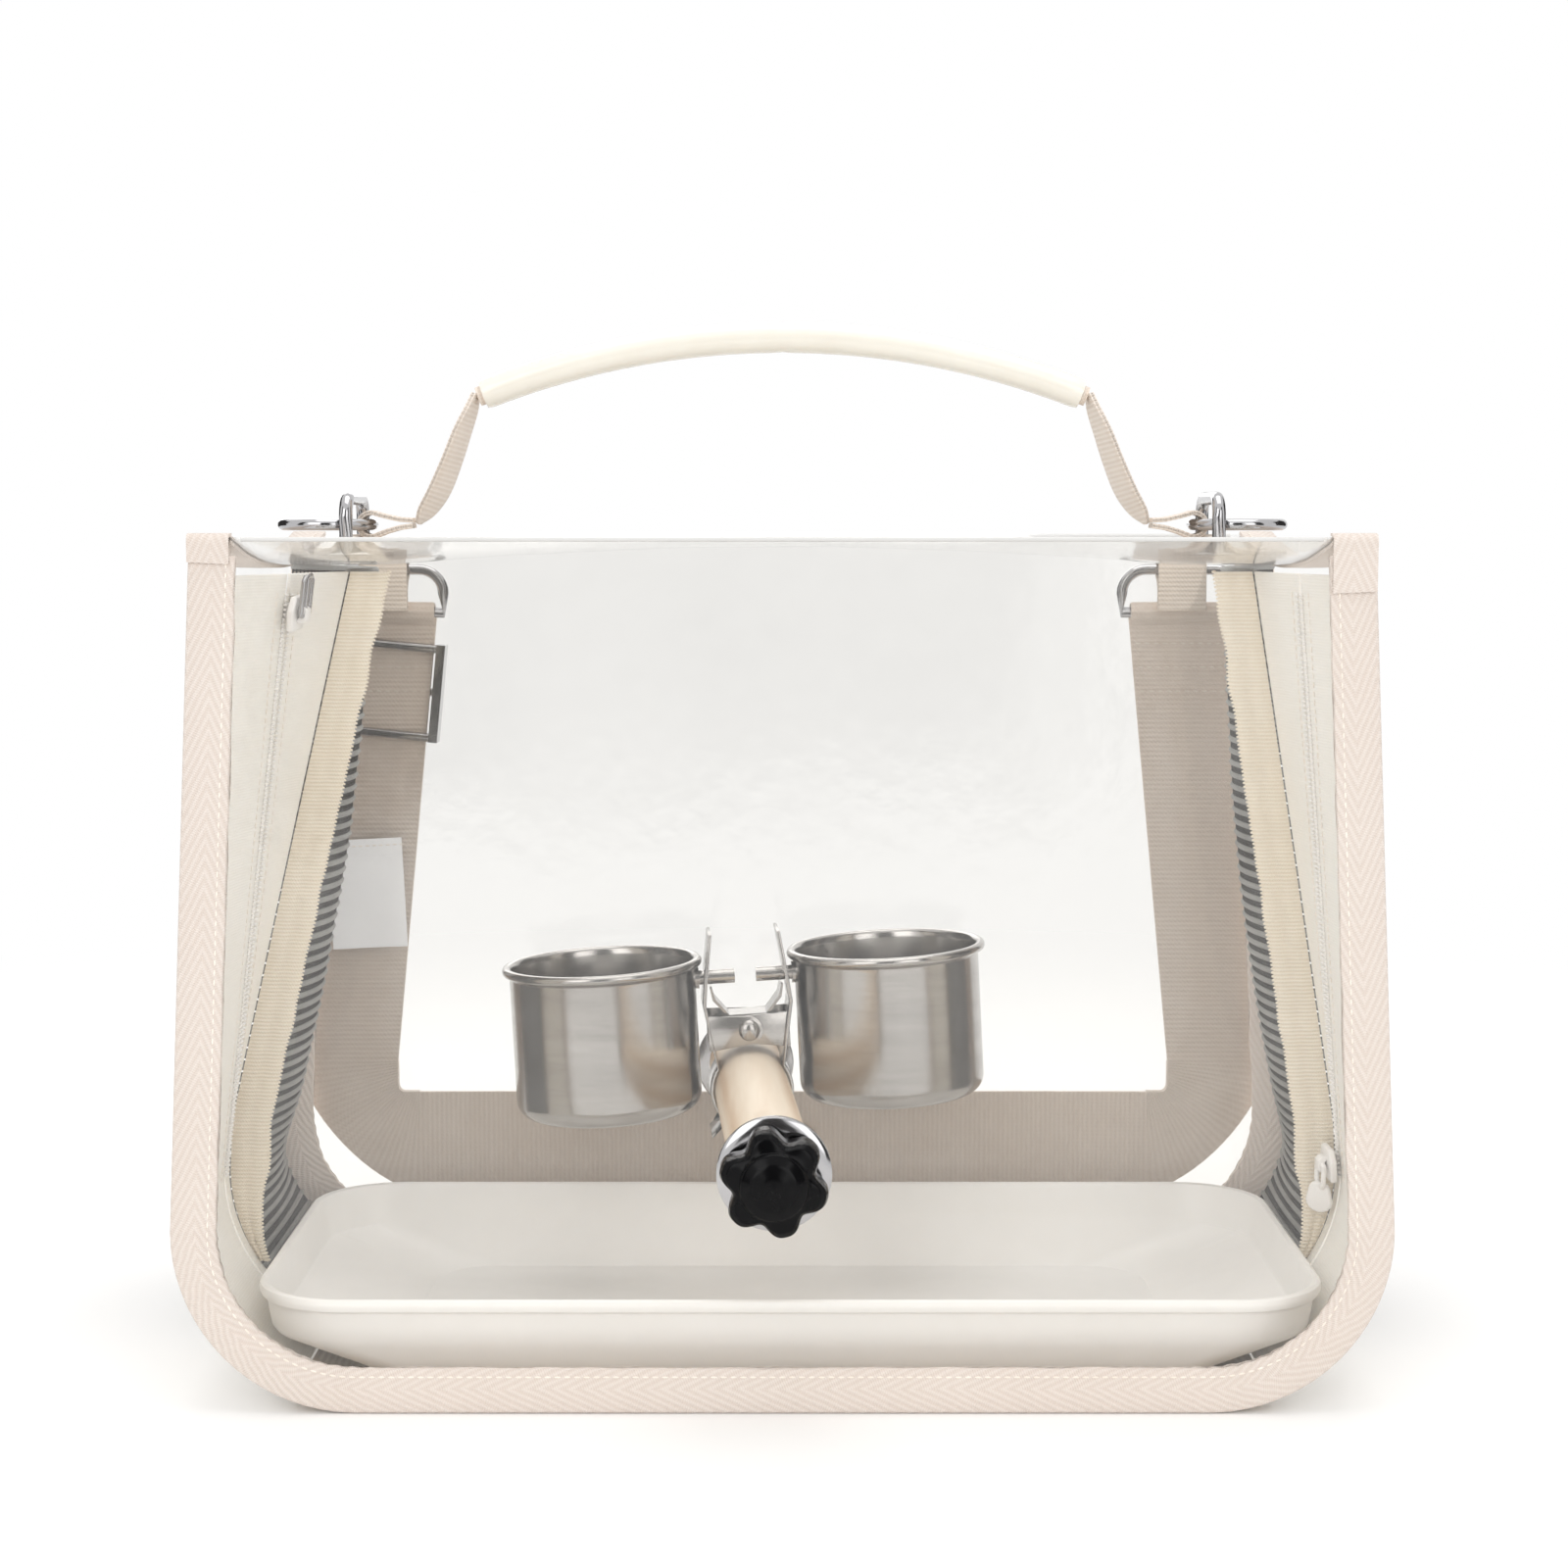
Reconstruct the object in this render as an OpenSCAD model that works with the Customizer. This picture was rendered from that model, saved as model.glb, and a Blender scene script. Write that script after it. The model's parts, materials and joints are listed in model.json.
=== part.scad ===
// Clear bird travel carrier: a zipped sheet bag with a perch, two feeding cups, a tray and a handle.
// Millimetres, +Z up, the front faces -Y. The origin is the middle of the base on the floor.

/* [Bag] */
// Width of the bag at its bottom corners
bag_w = 300; // [290:1:330]
// Width of the bag at its top fold
top_w = 284; // [276:1:300]
// Height of the top fold above the floor
bag_h = 215; // [205:1:240]
// Depth of the bag from front sheet to back sheet
bag_d = 142; // [140:1:170]
// Radius of the two lower corners
corner_r = 45; // [38:1:50]
// Thickness of the clear sheet
sheet_t = 0.6; // [0.4:0.1:1]
// Thickness of the side fabric
fabric_t = 0.8; // [0.5:0.1:1.2]
// How far the left side folds in at the top
fold_left = 27; // [10:1:30]
// How far the right side folds in at the top
fold_right = 17; // [10:1:30]
// How far the mesh bellies in behind the side seam
mesh_belly = 5; // [2:1:8]
// How far the top sheet sags over the rings
deck_sag = 7.2; // [5:0.1:9]

/* [Tapes and zips] */
// Visible width of the folded binding tape
tape_w = 11.5; // [8:0.5:15]
// Thickness of one layer of tape
tape_t = 0.8; // [0.5:0.1:1.2]
// Width of the seam ribbon that stands into the bag
ribbon_w = 10; // [7:0.5:13]
// Width of the slit between the two zip coils
zip_slit = 1.6; // [1.4:0.1:2.2]
// Width of one zip coil
coil_w = 1.5; // [1.2:0.1:2]
// Height of one zip coil
coil_h = 1.1; // [0.8:0.1:1.4]
// Width of a zip slider
slider_w = 9; // [8:0.5:10]
// Length of a zip slider
slider_l = 9; // [7:0.5:11]
// Length of the left slider's pull, which stands up
pull_up = 10.5; // [8:0.5:11]
// Length of the right slider's pull, which hangs down
pull_down = 13.5; // [12:0.5:14]

/* [Mesh windows] */
// Holes across one mesh window
mesh_cols = 5; // [3:1:6]
// Holes down one mesh window
mesh_rows = 28; // [16:1:30]

/* [Handle and rings] */
// Width of the handle webbing
web_w = 20; // [16:1:22]
// Thickness of the webbing
web_t = 1.3; // [1:0.1:1.8]
// Diameter of the handle's grip tube
grip_d = 8; // [7:0.5:11]
// Straight distance between the ends of the grip
grip_chord = 160; // [140:1:170]
// Height of the grip's crown above the floor
grip_top = 270.6; // [262:0.2:290]
// How far the grip's ends lie below its crown
grip_rise = 15.4; // [10:0.2:20]
// Distance of each upright ring from the middle
ring_x = 113; // [110:1:116]
// Inner width of the upright ring
d_inner = 26.6; // [26.4:0.1:28]
// Wire of the upright ring
d_wire = 3.5; // [3:0.1:4]
// Outer diameter of the flat ring
o_ring_d = 26.4; // [25:0.2:27]
// Wire of the flat ring
o_wire = 3; // [2.4:0.1:3.2]

/* [Perch] */
// Diameter of the perch
perch_d = 21; // [18:0.5:22]
// Height of the perch's axis above the floor
perch_z = 60; // [58:1:66]
// Sideways place of the perch's front end
perch_x = -2; // [-8:1:8]
// Sideways place of the perch's back end
perch_back_x = -11; // [-12:1:8]
// Diameter of the perch studs
stud_d = 6; // [5:0.5:8]
// Diameter of the large washers
washer_d = 28.4; // [24:0.2:32]
// Thickness of the washers
washer_t = 1.2; // [0.8:0.1:2]
// Diameter of the star knob over its lobes
knob_d = 27; // [24:0.5:32]
// Height of the star knob
knob_h = 16; // [13:0.5:20]
// Number of lobes on the star knob
knob_lobes = 6; // [5:1:8]

/* [Cups and clip] */
// Outer diameter of a cup's body
cup_d = 52; // [46:1:54]
// Height of a cup
cup_h = 43; // [36:1:46]
// Wall of a cup
cup_wall = 0.8; // [0.6:0.1:1.2]
// How far a cup's rolled rim stands out
rim_out = 2; // [1.5:0.1:2.4]
// Distance of the clip in front of the back sheet
clip_back = 34; // [31:0.5:40]
// Lean of the clip to the left on the perch, in degrees
clip_lean = 3; // [0:0.5:5]
// Thickness of the clip's steel
steel_t = 1; // [0.8:0.1:1.2]
// Depth of the clip along the perch
clip_w = 16; // [13:0.5:20]
// Diameter of the cup pins
pin_d = 4.1; // [3:0.1:5]
// Height of the clip's rivet above the perch's axis
rivet_h = 17; // [16:0.5:20]

/* [Tray] */
// Gap from the tray's rim to the outline at each end
tray_gap_x = 9.8; // [9.2:0.2:14]
// Gap from the tray's rim to the front and back sheets
tray_gap_y = 8; // [5:0.5:12]
// Height of the tray's rim above the floor
tray_top = 26; // [24:0.5:30]
// Wall of the tray
tray_wall = 1.6; // [1.2:0.1:2.5]
// Corner radius of the tray's rim
tray_r = 24; // [16:1:30]

/* [Shoulder strap] */
// Width of the shoulder strap
strap_w = 30; // [24:1:32]
// Thickness of the shoulder strap
strap_t = 1.5; // [1:0.1:2]
// Height at which the strap crosses behind the base
strap_low = 20; // [16:1:22]

/* [Hidden] */
$fn = 64;
eps = 0.01;
seat = 0.3;                          // gap of a soft piece from what it seats on
run = 0.05;                          // running clearance of a pin in its bore
half_d = bag_d / 2;
cx = bag_w / 2 - corner_r;           // centre of a lower corner

// Side wall
root_y = -3;                         // where the seam ribbon is sewn along each side
gusset_top = bag_h - deck_sag - 2.4; // top edge of the side fabric
fold_low = 58;                       // the side fabric is flat below this height
belly_low = 18;                      // the mesh is flat below this height
straight_steps = 6;
arc_steps = 5;
arc_end = 68;                        // degrees round the lower corner that the side fabric reaches
edge_gap = tape_t + sheet_t + seat;  // side fabric starts this far behind the front sheet's face

// Zip
zip_top = 200;
zip_bottom = corner_r;
zip_top_y = -30;
zip_bottom_y = -9;
zip_mid = (zip_top + zip_bottom) / 2; // a slider faces the fabric as it lies at this height
zip_park = 4;                        // a parked slider's centre lies this far from the zip's end

// Top hardware
tab_z = bag_h - deck_sag + seat + 0.4; // the deck rises a little over the tab's width
bar_z = tab_z + web_t + seat + d_wire / 2;
ring_gap = 1.05;                     // gap between the two rings' webbing and wire
o_z = bar_z + d_wire / 2 + seat + web_t + ring_gap + o_wire / 2;
o_x = ring_x + 7;
o_mid = (o_ring_d - o_wire) / 2;     // radius of the flat ring's centre line
loop_x = o_x - o_mid;                // inner side of the flat ring, which the handle's end wraps
d_rise = 14.5;                       // height of the upright ring over its bar's axis
neck_x = 97;                         // where the handle's leg leaves its end loop
neck_z = o_z + 0.4;
neck_gap = 0.5;                      // the leg ends this far from its end loop
tab_in = ring_x - 12;
tab_out = top_w / 2 - 2;
tab_w = d_inner - 1.6;

// Strap
strap_y = half_d + 4;
strap_ring_w = strap_w + 4;
strap_wire = 3.2;
strap_hinge_z = bag_h - 10.5;
strap_hinge_y = strap_y + strap_t / 2;
strap_ring_h = 12.5;                 // height between the strap ring's two bars
strap_inset = 26;                    // the strap's upper ends lie this far in from the bag's top corners
strap_x = top_w / 2 - strap_inset;
adjuster_drop = 22;                  // the slide's middle lies this far below the strap ring's lower bar
adjuster_z = strap_hinge_z - strap_ring_h - adjuster_drop;

// Perch and clip
sheet_in = half_d - sheet_t;
clip_y = half_d - clip_back;
cup_x = 40;                          // distance of a cup's axis from the clip's middle
cup_rim_over = 21;                   // cup rim above the rivet
pin_over = 14.5;                     // cup pin above the rivet

function lerp(a, b, t) = a + (b - a) * t;
function unit(v) = v / norm(v);

// Half width of the bag's outline at height z, drawn in by i
function side_x(z, i = 0) =
    z >= corner_r ? lerp(bag_w / 2, top_w / 2, (z - corner_r) / (bag_h - corner_r)) - i
    : cx + sqrt(max(0, pow(corner_r - i, 2) - pow(corner_r - z, 2)));

// Heights of the rungs of the side fabric from its top edge down round the corner
wall_in = tape_t;
levels = concat(
    [for (k = [0 : straight_steps]) lerp(gusset_top, corner_r, k / straight_steps)],
    [for (k = [1 : arc_steps]) corner_r - (corner_r - wall_in) * sin(arc_end * k / arc_steps)]);

function ramp(z, low) = max(0, (z - low) / (gusset_top - low));
function fold_in(z, fold) = fold * ramp(z, fold_low);
function root_pt(z, fold) = [side_x(z, wall_in) - fold_in(z, fold), root_y, z];
function front_pt(z) = [side_x(z, wall_in), -half_d + edge_gap, z];

// The zip runs on one straight line, so that its slider can travel
function zip_y(z) = lerp(zip_bottom_y, zip_top_y, max(0, (z - zip_bottom) / (zip_top - zip_bottom)));
function zip_top_x(fold) =
    side_x(zip_top, wall_in) - fold_in(zip_top, fold) * (zip_top_y + half_d) / (root_y + half_d);
function zip_pt(z, fold) =
    z >= zip_bottom
    ? [lerp(side_x(zip_bottom, wall_in), zip_top_x(fold), (z - zip_bottom) / (zip_top - zip_bottom)), zip_y(z), z]
    : [side_x(z, wall_in), zip_bottom_y, z];
function toward(a, b, d) = a + unit(b - a) * d;

// Mesh: u runs from the seam to the back edge, v from top to bottom
function mesh_pt(z, u, fold) =
    let (apex = (fold + 4) * ramp(z, belly_low) + mesh_belly * sin(180 * ramp(z, belly_low)),
         root = fold_in(z, fold),
         hump = max(0, (apex - 0.71 * root) / 0.206))
    [side_x(z, wall_in) - root * (1 - u) - hump * u * (1 - u),
     lerp(root_y + tape_t + seat, half_d - edge_gap, u), z];
function level_at(v) =
    let (k = v * (len(levels) - 1), i = min(floor(k), len(levels) - 2))
    lerp(levels[i], levels[i + 1], k - i);

// Height of the middle of the top sheet
function deck_z(x, y) =
    bag_h - sheet_t / 2
    - lerp(deck_sag * 0.35, deck_sag, pow(min(1, abs(x) / (ring_x - 10)), 2)) * (1 - pow(y / half_d, 2));

// A sheet of thickness t on a grid of points, lifted along its own normal
function grid_normal(g, i, j) =
    let (a = g[min(i + 1, len(g) - 1)][j] - g[max(i - 1, 0)][j],
         b = g[i][min(j + 1, len(g[0]) - 1)] - g[i][max(j - 1, 0)])
    unit(cross(a, b));
function side_faces(a, b, c, d) = [[a, b, c], [a, c, d]];

module sheet(g, t, lift = 0) {
    rows = len(g);
    cols = len(g[0]);
    count = rows * cols;
    pts = [for (s = [-1, 1]) for (i = [0 : rows - 1]) for (j = [0 : cols - 1])
        g[i][j] + grid_normal(g, i, j) * (lift + s * t / 2)];
    faces = concat(
        [for (i = [0 : rows - 2]) for (j = [0 : cols - 2])
            each side_faces(i * cols + j, i * cols + j + 1, (i + 1) * cols + j + 1, (i + 1) * cols + j)],
        [for (i = [0 : rows - 2]) for (j = [0 : cols - 2])
            each side_faces(count + (i + 1) * cols + j, count + (i + 1) * cols + j + 1,
                            count + i * cols + j + 1, count + i * cols + j)],
        [for (j = [0 : cols - 2]) each side_faces(count + j, count + j + 1, j + 1, j)],
        [for (j = [0 : cols - 2]) let (r = (rows - 1) * cols)
            each side_faces(r + j, r + j + 1, count + r + j + 1, count + r + j)],
        [for (i = [0 : rows - 2]) each side_faces(i * cols, (i + 1) * cols, count + (i + 1) * cols, count + i * cols)],
        [for (i = [0 : rows - 2]) let (c = cols - 1)
            each side_faces(count + i * cols + c, count + (i + 1) * cols + c, (i + 1) * cols + c, i * cols + c)]);
    polyhedron(pts, faces, convexity = 6);
}

// A solid through a list of rings with the same number of points; caps lists the faces of one end
module loft(rings, caps = [[0, 1, 2, 3]]) {
    n = len(rings[0]);
    m = len(rings);
    faces = concat(
        caps,
        [for (i = [0 : m - 2]) for (k = [0 : n - 1]) let (q = (k + 1) % n)
            each side_faces(i * n + q, i * n + k, (i + 1) * n + k, (i + 1) * n + q)],
        [for (c = caps) [for (k = [len(c) - 1 : -1 : 0]) (m - 1) * n + c[k]]]);
    polyhedron([for (r = rings) each r], faces, convexity = 6);
}

module on_side(s) {
    if (s < 0) mirror([1, 0, 0]) children();
    else children();
}

function fold_of(s) = s < 0 ? fold_left : fold_right;

// Outline of the front and back, drawn in by i
module outline(i = 0) {
    r = corner_r - i;
    polygon([
        [-bag_w / 2 + i, corner_r], [bag_w / 2 - i, corner_r],
        [top_w / 2 - i, bag_h], [-top_w / 2 + i, bag_h]]);
    for (s = [-1, 1]) translate([s * cx, corner_r]) circle(r);
    translate([-cx, i]) square([2 * cx, corner_r - i + eps]);
}

module upright(y, t) {
    translate([0, y + t, 0]) rotate([90, 0, 0]) linear_extrude(t) children();
}

// Cylinder along +Y from y, radius r, length l
module y_rod(r, y, l) {
    translate([0, y + l, 0]) rotate([90, 0, 0]) cylinder(r = r, h = l);
}
module x_rod(r, x, l) {
    translate([x, 0, 0]) rotate([0, 90, 0]) cylinder(r = r, h = l);
}

// Places its children on the perch's fixing: s is -1 at the front and 1 at the back
module at_end(s) {
    translate([s < 0 ? perch_x : perch_back_x, 0, perch_z]) children();
}

// ---- Sheets and fabric ----

panel_top = bag_h - sheet_t - 0.15;

module panel(y) {
    difference() {
        upright(y, sheet_t) difference() {
            outline(1.5);
            translate([-bag_w, panel_top]) square([2 * bag_w, bag_h]);
        }
        at_end(y) y_rod(stud_d / 2 + seat, y - 1, sheet_t + 2);
    }
}
module front_panel() {
    color("whitesmoke", 0.35) panel(-half_d);
}
module back_panel() {
    color("whitesmoke", 0.35) panel(half_d - sheet_t);
}

deck_cols = 16;
deck_rows = 8;
module top_panel() {
    g = [for (i = [0 : deck_cols]) [for (j = [0 : deck_rows])
        let (x = lerp(-top_w / 2 + 1.2, top_w / 2 - 1.2, i / deck_cols), y = lerp(-half_d, half_d, j / deck_rows))
        [x, y, deck_z(x, y)]]];
    color("whitesmoke", 0.35) sheet(g, sheet_t);
}

base_t = 1.2;
base_cut = corner_r * cos(arc_end + 1.2); // how far the base climbs round each lower corner
module base_panel() {
    color("linen") intersection() {
        upright(-half_d + edge_gap, bag_d - 2 * edge_gap) difference() {
            outline(0);
            outline(base_t);
        }
        translate([-cx - base_cut, -half_d, 0]) cube([2 * (cx + base_cut), bag_d, corner_r]);
    }
}

// Folded tape round the sides and bottom, with a slot that holds the sheet's edge
module binding(y_out, y_sheet, depth, top_cut) {
    difference() {
        upright(y_out, depth) difference() {
            outline(0);
            outline(tape_w);
            translate([-bag_w, bag_h - top_cut]) square([2 * bag_w, 2 * top_cut + tape_w]);
            translate([-top_w / 2 + tape_w, bag_h - 2 * tape_w]) square([top_w - 2 * tape_w, 3 * tape_w]);
        }
        upright(y_sheet, sheet_t) outline(1);
    }
}
binding_d = 2 * tape_t + sheet_t;
module front_binding() {
    color("antiquewhite") binding(-half_d - tape_t, -half_d, binding_d, 4);
}
module back_binding() {
    color("antiquewhite") binding(half_d - sheet_t - tape_t, half_d - sheet_t, binding_d, 4);
}

// Tape folded over each end of the top sheet
end_tape_w = 10;
module top_tape(s) {
    x1 = top_w / 2;
    x0 = x1 - end_tape_w;
    out = sheet_t / 2 + tape_t;
    slot = sheet_t / 2 + 0.1;
    g = [for (j = [0 : deck_rows])
        let (y = lerp(-sheet_in + seat, sheet_in - seat, j / deck_rows), z = deck_z(x1, y))
        [[x0, y, z - out], [x1, y, z - out], [x1, y, z + out], [x0, y, z + out],
         [x0, y, z + slot], [x1 - tape_t, y, z + slot], [x1 - tape_t, y, z - slot], [x0, y, z - slot]]];
    color("antiquewhite") on_side(s) loft(g, [[0, 1, 6, 7], [1, 2, 5, 6], [2, 3, 4, 5]]);
}
module top_tape_left() { top_tape(-1); }
module top_tape_right() { top_tape(1); }

slit = zip_slit / 2;
strip_cols = 4;
function strip_row(a, b, n) = [for (j = [0 : n]) lerp(a, b, j / n)];

module front_gusset(s) {
    f = fold_of(s);
    g = [for (z = levels) let (p = front_pt(z), q = zip_pt(z, f)) strip_row(p, toward(q, p, slit), strip_cols)];
    color("whitesmoke") on_side(s) sheet(g, fabric_t);
}
module front_gusset_left() { front_gusset(-1); }
module front_gusset_right() { front_gusset(1); }

module middle_gusset(s) {
    f = fold_of(s);
    g = [for (z = levels) let (p = root_pt(z, f), q = zip_pt(z, f)) strip_row(toward(q, p, slit), p, 3)];
    color("whitesmoke") on_side(s) sheet(g, fabric_t);
}
module middle_gusset_left() { middle_gusset(-1); }
module middle_gusset_right() { middle_gusset(1); }

// Two rows of zip coil on the fabric's inner face, one on each side of the slit
module zip_coils(s) {
    f = fold_of(s);
    zs = [for (k = [0 : straight_steps]) lerp(zip_top, zip_bottom, k / straight_steps)];
    color("ivory") on_side(s) for (side = [-1, 1]) {
        g = [for (z = zs)
            let (q = zip_pt(z, f), p = side < 0 ? front_pt(z) : root_pt(z, f),
                 a = toward(q, p, slit), b = toward(q, p, slit + coil_w))
            side < 0 ? [b, a] : [a, b]];
        sheet(g, coil_h, -(fabric_t + coil_h) / 2 - 0.05);
    }
}
module zip_coils_left() { zip_coils(-1); }
module zip_coils_right() { zip_coils(1); }

// Net: every other cell of the grid is a hole
module mesh_window(s) {
    f = fold_of(s);
    nu = 2 * mesh_cols + 1;
    nv = 2 * mesh_rows + 1;
    bar = 0.3;                       // a bar's share of the pitch
    function step(k, n, cells) = (floor(k / 2) + (k % 2 == 0 ? 0 : bar)) / (cells + bar);
    g = [for (i = [0 : nv]) let (z = level_at(step(i, nv, mesh_rows)))
        [for (j = [0 : nu]) mesh_pt(z, step(j, nu, mesh_cols), f)]];
    cols = nu + 1;
    count = (nv + 1) * cols;
    pts = [for (side = [-1, 1]) for (i = [0 : nv]) for (j = [0 : nu])
        g[i][j] + grid_normal(g, i, j) * side * fabric_t / 2];
    function hole(i, j) = i < 0 || j < 0 || i >= nv || j >= nu || (i % 2 == 1 && j % 2 == 1);
    function at(i, j) = i * cols + j;
    faces = [for (i = [0 : nv - 1]) for (j = [0 : nu - 1]) if (!hole(i, j)) each concat(
        side_faces(at(i, j), at(i, j + 1), at(i + 1, j + 1), at(i + 1, j)),
        side_faces(count + at(i + 1, j), count + at(i + 1, j + 1), count + at(i, j + 1), count + at(i, j)),
        hole(i - 1, j) ? side_faces(count + at(i, j), count + at(i, j + 1), at(i, j + 1), at(i, j)) : [],
        hole(i + 1, j) ? side_faces(at(i + 1, j), at(i + 1, j + 1), count + at(i + 1, j + 1), count + at(i + 1, j)) : [],
        hole(i, j - 1) ? side_faces(at(i, j), at(i + 1, j), count + at(i + 1, j), count + at(i, j)) : [],
        hole(i, j + 1) ? side_faces(count + at(i, j + 1), count + at(i + 1, j + 1), at(i + 1, j + 1), at(i, j + 1)) : [])];
    color("dimgray") on_side(s) polyhedron(pts, faces, convexity = 10);
}
module mesh_window_left() { mesh_window(-1); }
module mesh_window_right() { mesh_window(1); }

// Ribbon folded over the side seam; it stands into the bag and faces the front
ribbon_low = 20;
ribbon_end_w = 2;
module seam_ribbon(s) {
    f = fold_of(s);
    t = 2 * tape_t;
    g = [for (z = levels) if (z > ribbon_low)
        let (x = side_x(z, wall_in) - fold_in(z, f) - fabric_t / 2 - 2 * seat,
             w = lerp(ribbon_end_w, ribbon_w, min(1, (z - ribbon_low) / (corner_r - ribbon_low))))
        [[x, root_y - t / 2, z], [x, root_y + t / 2, z], [x - w, root_y + t / 2 - 1, z], [x - w, root_y - t / 2 - 1, z]]];
    color("beige") on_side(s) loft(g);
}
module seam_ribbon_left() { seam_ribbon(-1); }
module seam_ribbon_right() { seam_ribbon(1); }

// ---- Zip sliders ----

// Places its children on the zip line at height z: +Z up the line, +X into the bag
module at_zip(s, z) {
    f = fold_of(s);
    p = zip_pt(z, f);
    d = zip_pt(zip_top, f) - zip_pt(zip_bottom, f);
    tilt = acos(d[2] / norm(d));
    turn = atan2(d[1], d[0]);
    across = root_pt(zip_mid, f) - front_pt(zip_mid);
    yaw = atan2(across[1], across[0]) + 90;
    on_side(s) translate(p) rotate([0, tilt, turn]) rotate([0, 0, yaw - turn]) children();
}
plate_t = 1.1;
face_t = 1.8;                        // the slider's inner plate is the thicker one
coil_clear = 0.9;                    // room for the fabric's twist along the zip
post_w = zip_slit - 0.6;
slider_in = fabric_t / 2 + coil_h + coil_clear;
slider_out = fabric_t / 2 + coil_clear + 0.3;
eye_r = 0.8;
eye_up = 1.3;                        // eye's centre above the inner plate
eye_x = slider_in + face_t + eye_up;
slider_hex = [[-0.36, 0.5], [0.36, 0.5], [0.56, 0.12], [0.44, -0.5], [-0.44, -0.5], [-0.56, 0.12]];

// Plate across the zip: drawn in Y and Z, t thick along X
module across_zip(x, t) {
    translate([x, 0, 0]) rotate([90, 0, 90]) linear_extrude(t) children();
}
module slider_plate(x, t) {
    across_zip(x, t) polygon([for (p = slider_hex) [p[0] * slider_w, p[1] * slider_l]]);
}
module zip_slider(s, z) {
    color("ivory") at_zip(s, z) difference() {
        union() {
            slider_plate(slider_in, face_t);
            slider_plate(-slider_out - plate_t, plate_t);
            translate([-slider_out - eps, -post_w / 2, -slider_l / 4])
                cube([slider_in + slider_out + 2 * eps, post_w, slider_l / 2]);
            translate([slider_in + face_t - eps, -1.9, -2.2]) cube([2 * eye_up, 3.8, 4.4]);
        }
        translate([eye_x, 0, 0]) y_rod(eye_r, -5, 10);
    }
}
slider_left_z = zip_top - zip_park;
slider_right_z = zip_bottom + zip_park;
module zip_slider_left() { zip_slider(-1, slider_left_z); }
module zip_slider_right() { zip_slider(1, slider_right_z); }

// Link of a pull: a pin through the slider's eye, two legs and a crossbar l above the eye
leg_t = 1.5;
leg_y = 2.1;                         // inner face of each leg
module pull_link(l) {
    y_rod(eye_r - run, -leg_y - eps, 2 * leg_y + 2 * eps);
    for (q = [-1, 1]) translate([-leg_t / 2, q * (leg_y + leg_t / 2) - leg_t / 2, -leg_t / 2 - 0.2])
        cube([leg_t, leg_t, l + leg_t / 2 + 0.2]);
    translate([-leg_t / 2, -leg_y - leg_t, l - leg_t]) cube([leg_t, 2 * leg_y + 2 * leg_t, leg_t]);
}
module zip_pull_left() {
    color("silver") at_zip(-1, slider_left_z) translate([eye_x, 0, 0]) pull_link(pull_up);
}

// The right pull ends in a moulded tab that has turned about its own length
tab_turn = 45;
tab_wide = 7.6;
tab_thick = 1.6;
tab_round = 2;
link_l = 6;
hang = 6.3;                          // the pull hangs plumb while the zip leans by this angle
module zip_pull_right() {
    l = pull_down - link_l;
    e = tab_wide / 2 - tab_round;
    color("ghostwhite") at_zip(1, slider_right_z) translate([eye_x, 0, 0])
        rotate([0, -hang, 0]) mirror([0, 0, 1]) {
        pull_link(link_l);
        translate([0, 0, link_l - 0.5]) rotate([0, 0, tab_turn]) {
            across_zip(-tab_thick / 2, tab_thick)
                polygon([[-1.8, 0], [1.8, 0], [tab_wide / 2 - 0.1, l - tab_round], [e, l], [-e, l],
                         [-tab_wide / 2 + 0.1, l - tab_round]]);
            for (q = [-1, 1]) translate([-tab_thick / 2, q * e, l - tab_round]) x_rod(tab_round, 0, tab_thick);
        }
    }
}

// ---- Rings and handle ----

// Ring of wire with straight bar below: w and h are between wire centres, r rounds the top
module wire_ring(w, h, r, wire) {
    y_rod_c(wire / 2, w + wire);
    for (q = [-1, 1]) {
        translate([0, q * w / 2, 0]) cylinder(r = wire / 2, h = h - r);
        translate([0, q * (w / 2 - r), h - r]) rotate([90, 0, q > 0 ? 90 : -90])
            rotate_extrude(angle = 90) translate([r, 0]) circle(wire / 2, $fn = 24);
    }
    translate([0, 0, h]) y_rod_c(wire / 2, w - 2 * r);
}
module y_rod_c(r, l) {
    rotate([90, 0, 0]) cylinder(r = r, h = l, center = true);
}

module d_ring(s) {
    color("silver") on_side(s) translate([ring_x, 0, bar_z])
        wire_ring(d_inner + d_wire, d_rise - d_wire / 2, 5, d_wire);
}
module d_ring_left() { d_ring(-1); }
module d_ring_right() { d_ring(1); }

module o_ring(s) {
    color("silver") on_side(s) translate([o_x, 0, o_z])
        rotate_extrude() translate([o_mid, 0]) circle(o_wire / 2, $fn = 32);
}
module o_ring_left() { o_ring(-1); }
module o_ring_right() { o_ring(1); }

// Webbing sewn across the end of the top sheet, looped round the upright ring's bar
module webbing_tab(s) {
    r_out = d_wire / 2 + seat + web_t;
    slope = 8;                       // the upper layer comes down over this length each side of the loop
    color("antiquewhite") on_side(s) difference() {
        union() {
            translate([tab_in, -tab_w / 2, tab_z]) cube([tab_out - tab_in - end_tape_w, tab_w, 2 * web_t]);
            translate([ring_x, 0, bar_z]) y_rod(r_out - 0.1, -tab_w / 2, tab_w);
            upright(-tab_w / 2, tab_w) polygon([
                [ring_x - slope, tab_z + web_t], [ring_x - slope, tab_z + 2 * web_t], [ring_x - 2, bar_z + r_out - 1],
                [ring_x + 2, bar_z + r_out - 1], [ring_x + slope, tab_z + 2 * web_t], [ring_x + slope, tab_z + web_t]]);
        }
        translate([ring_x, 0, bar_z]) y_rod(d_wire / 2 + seat, -tab_w, 2 * tab_w);
    }
}
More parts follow.
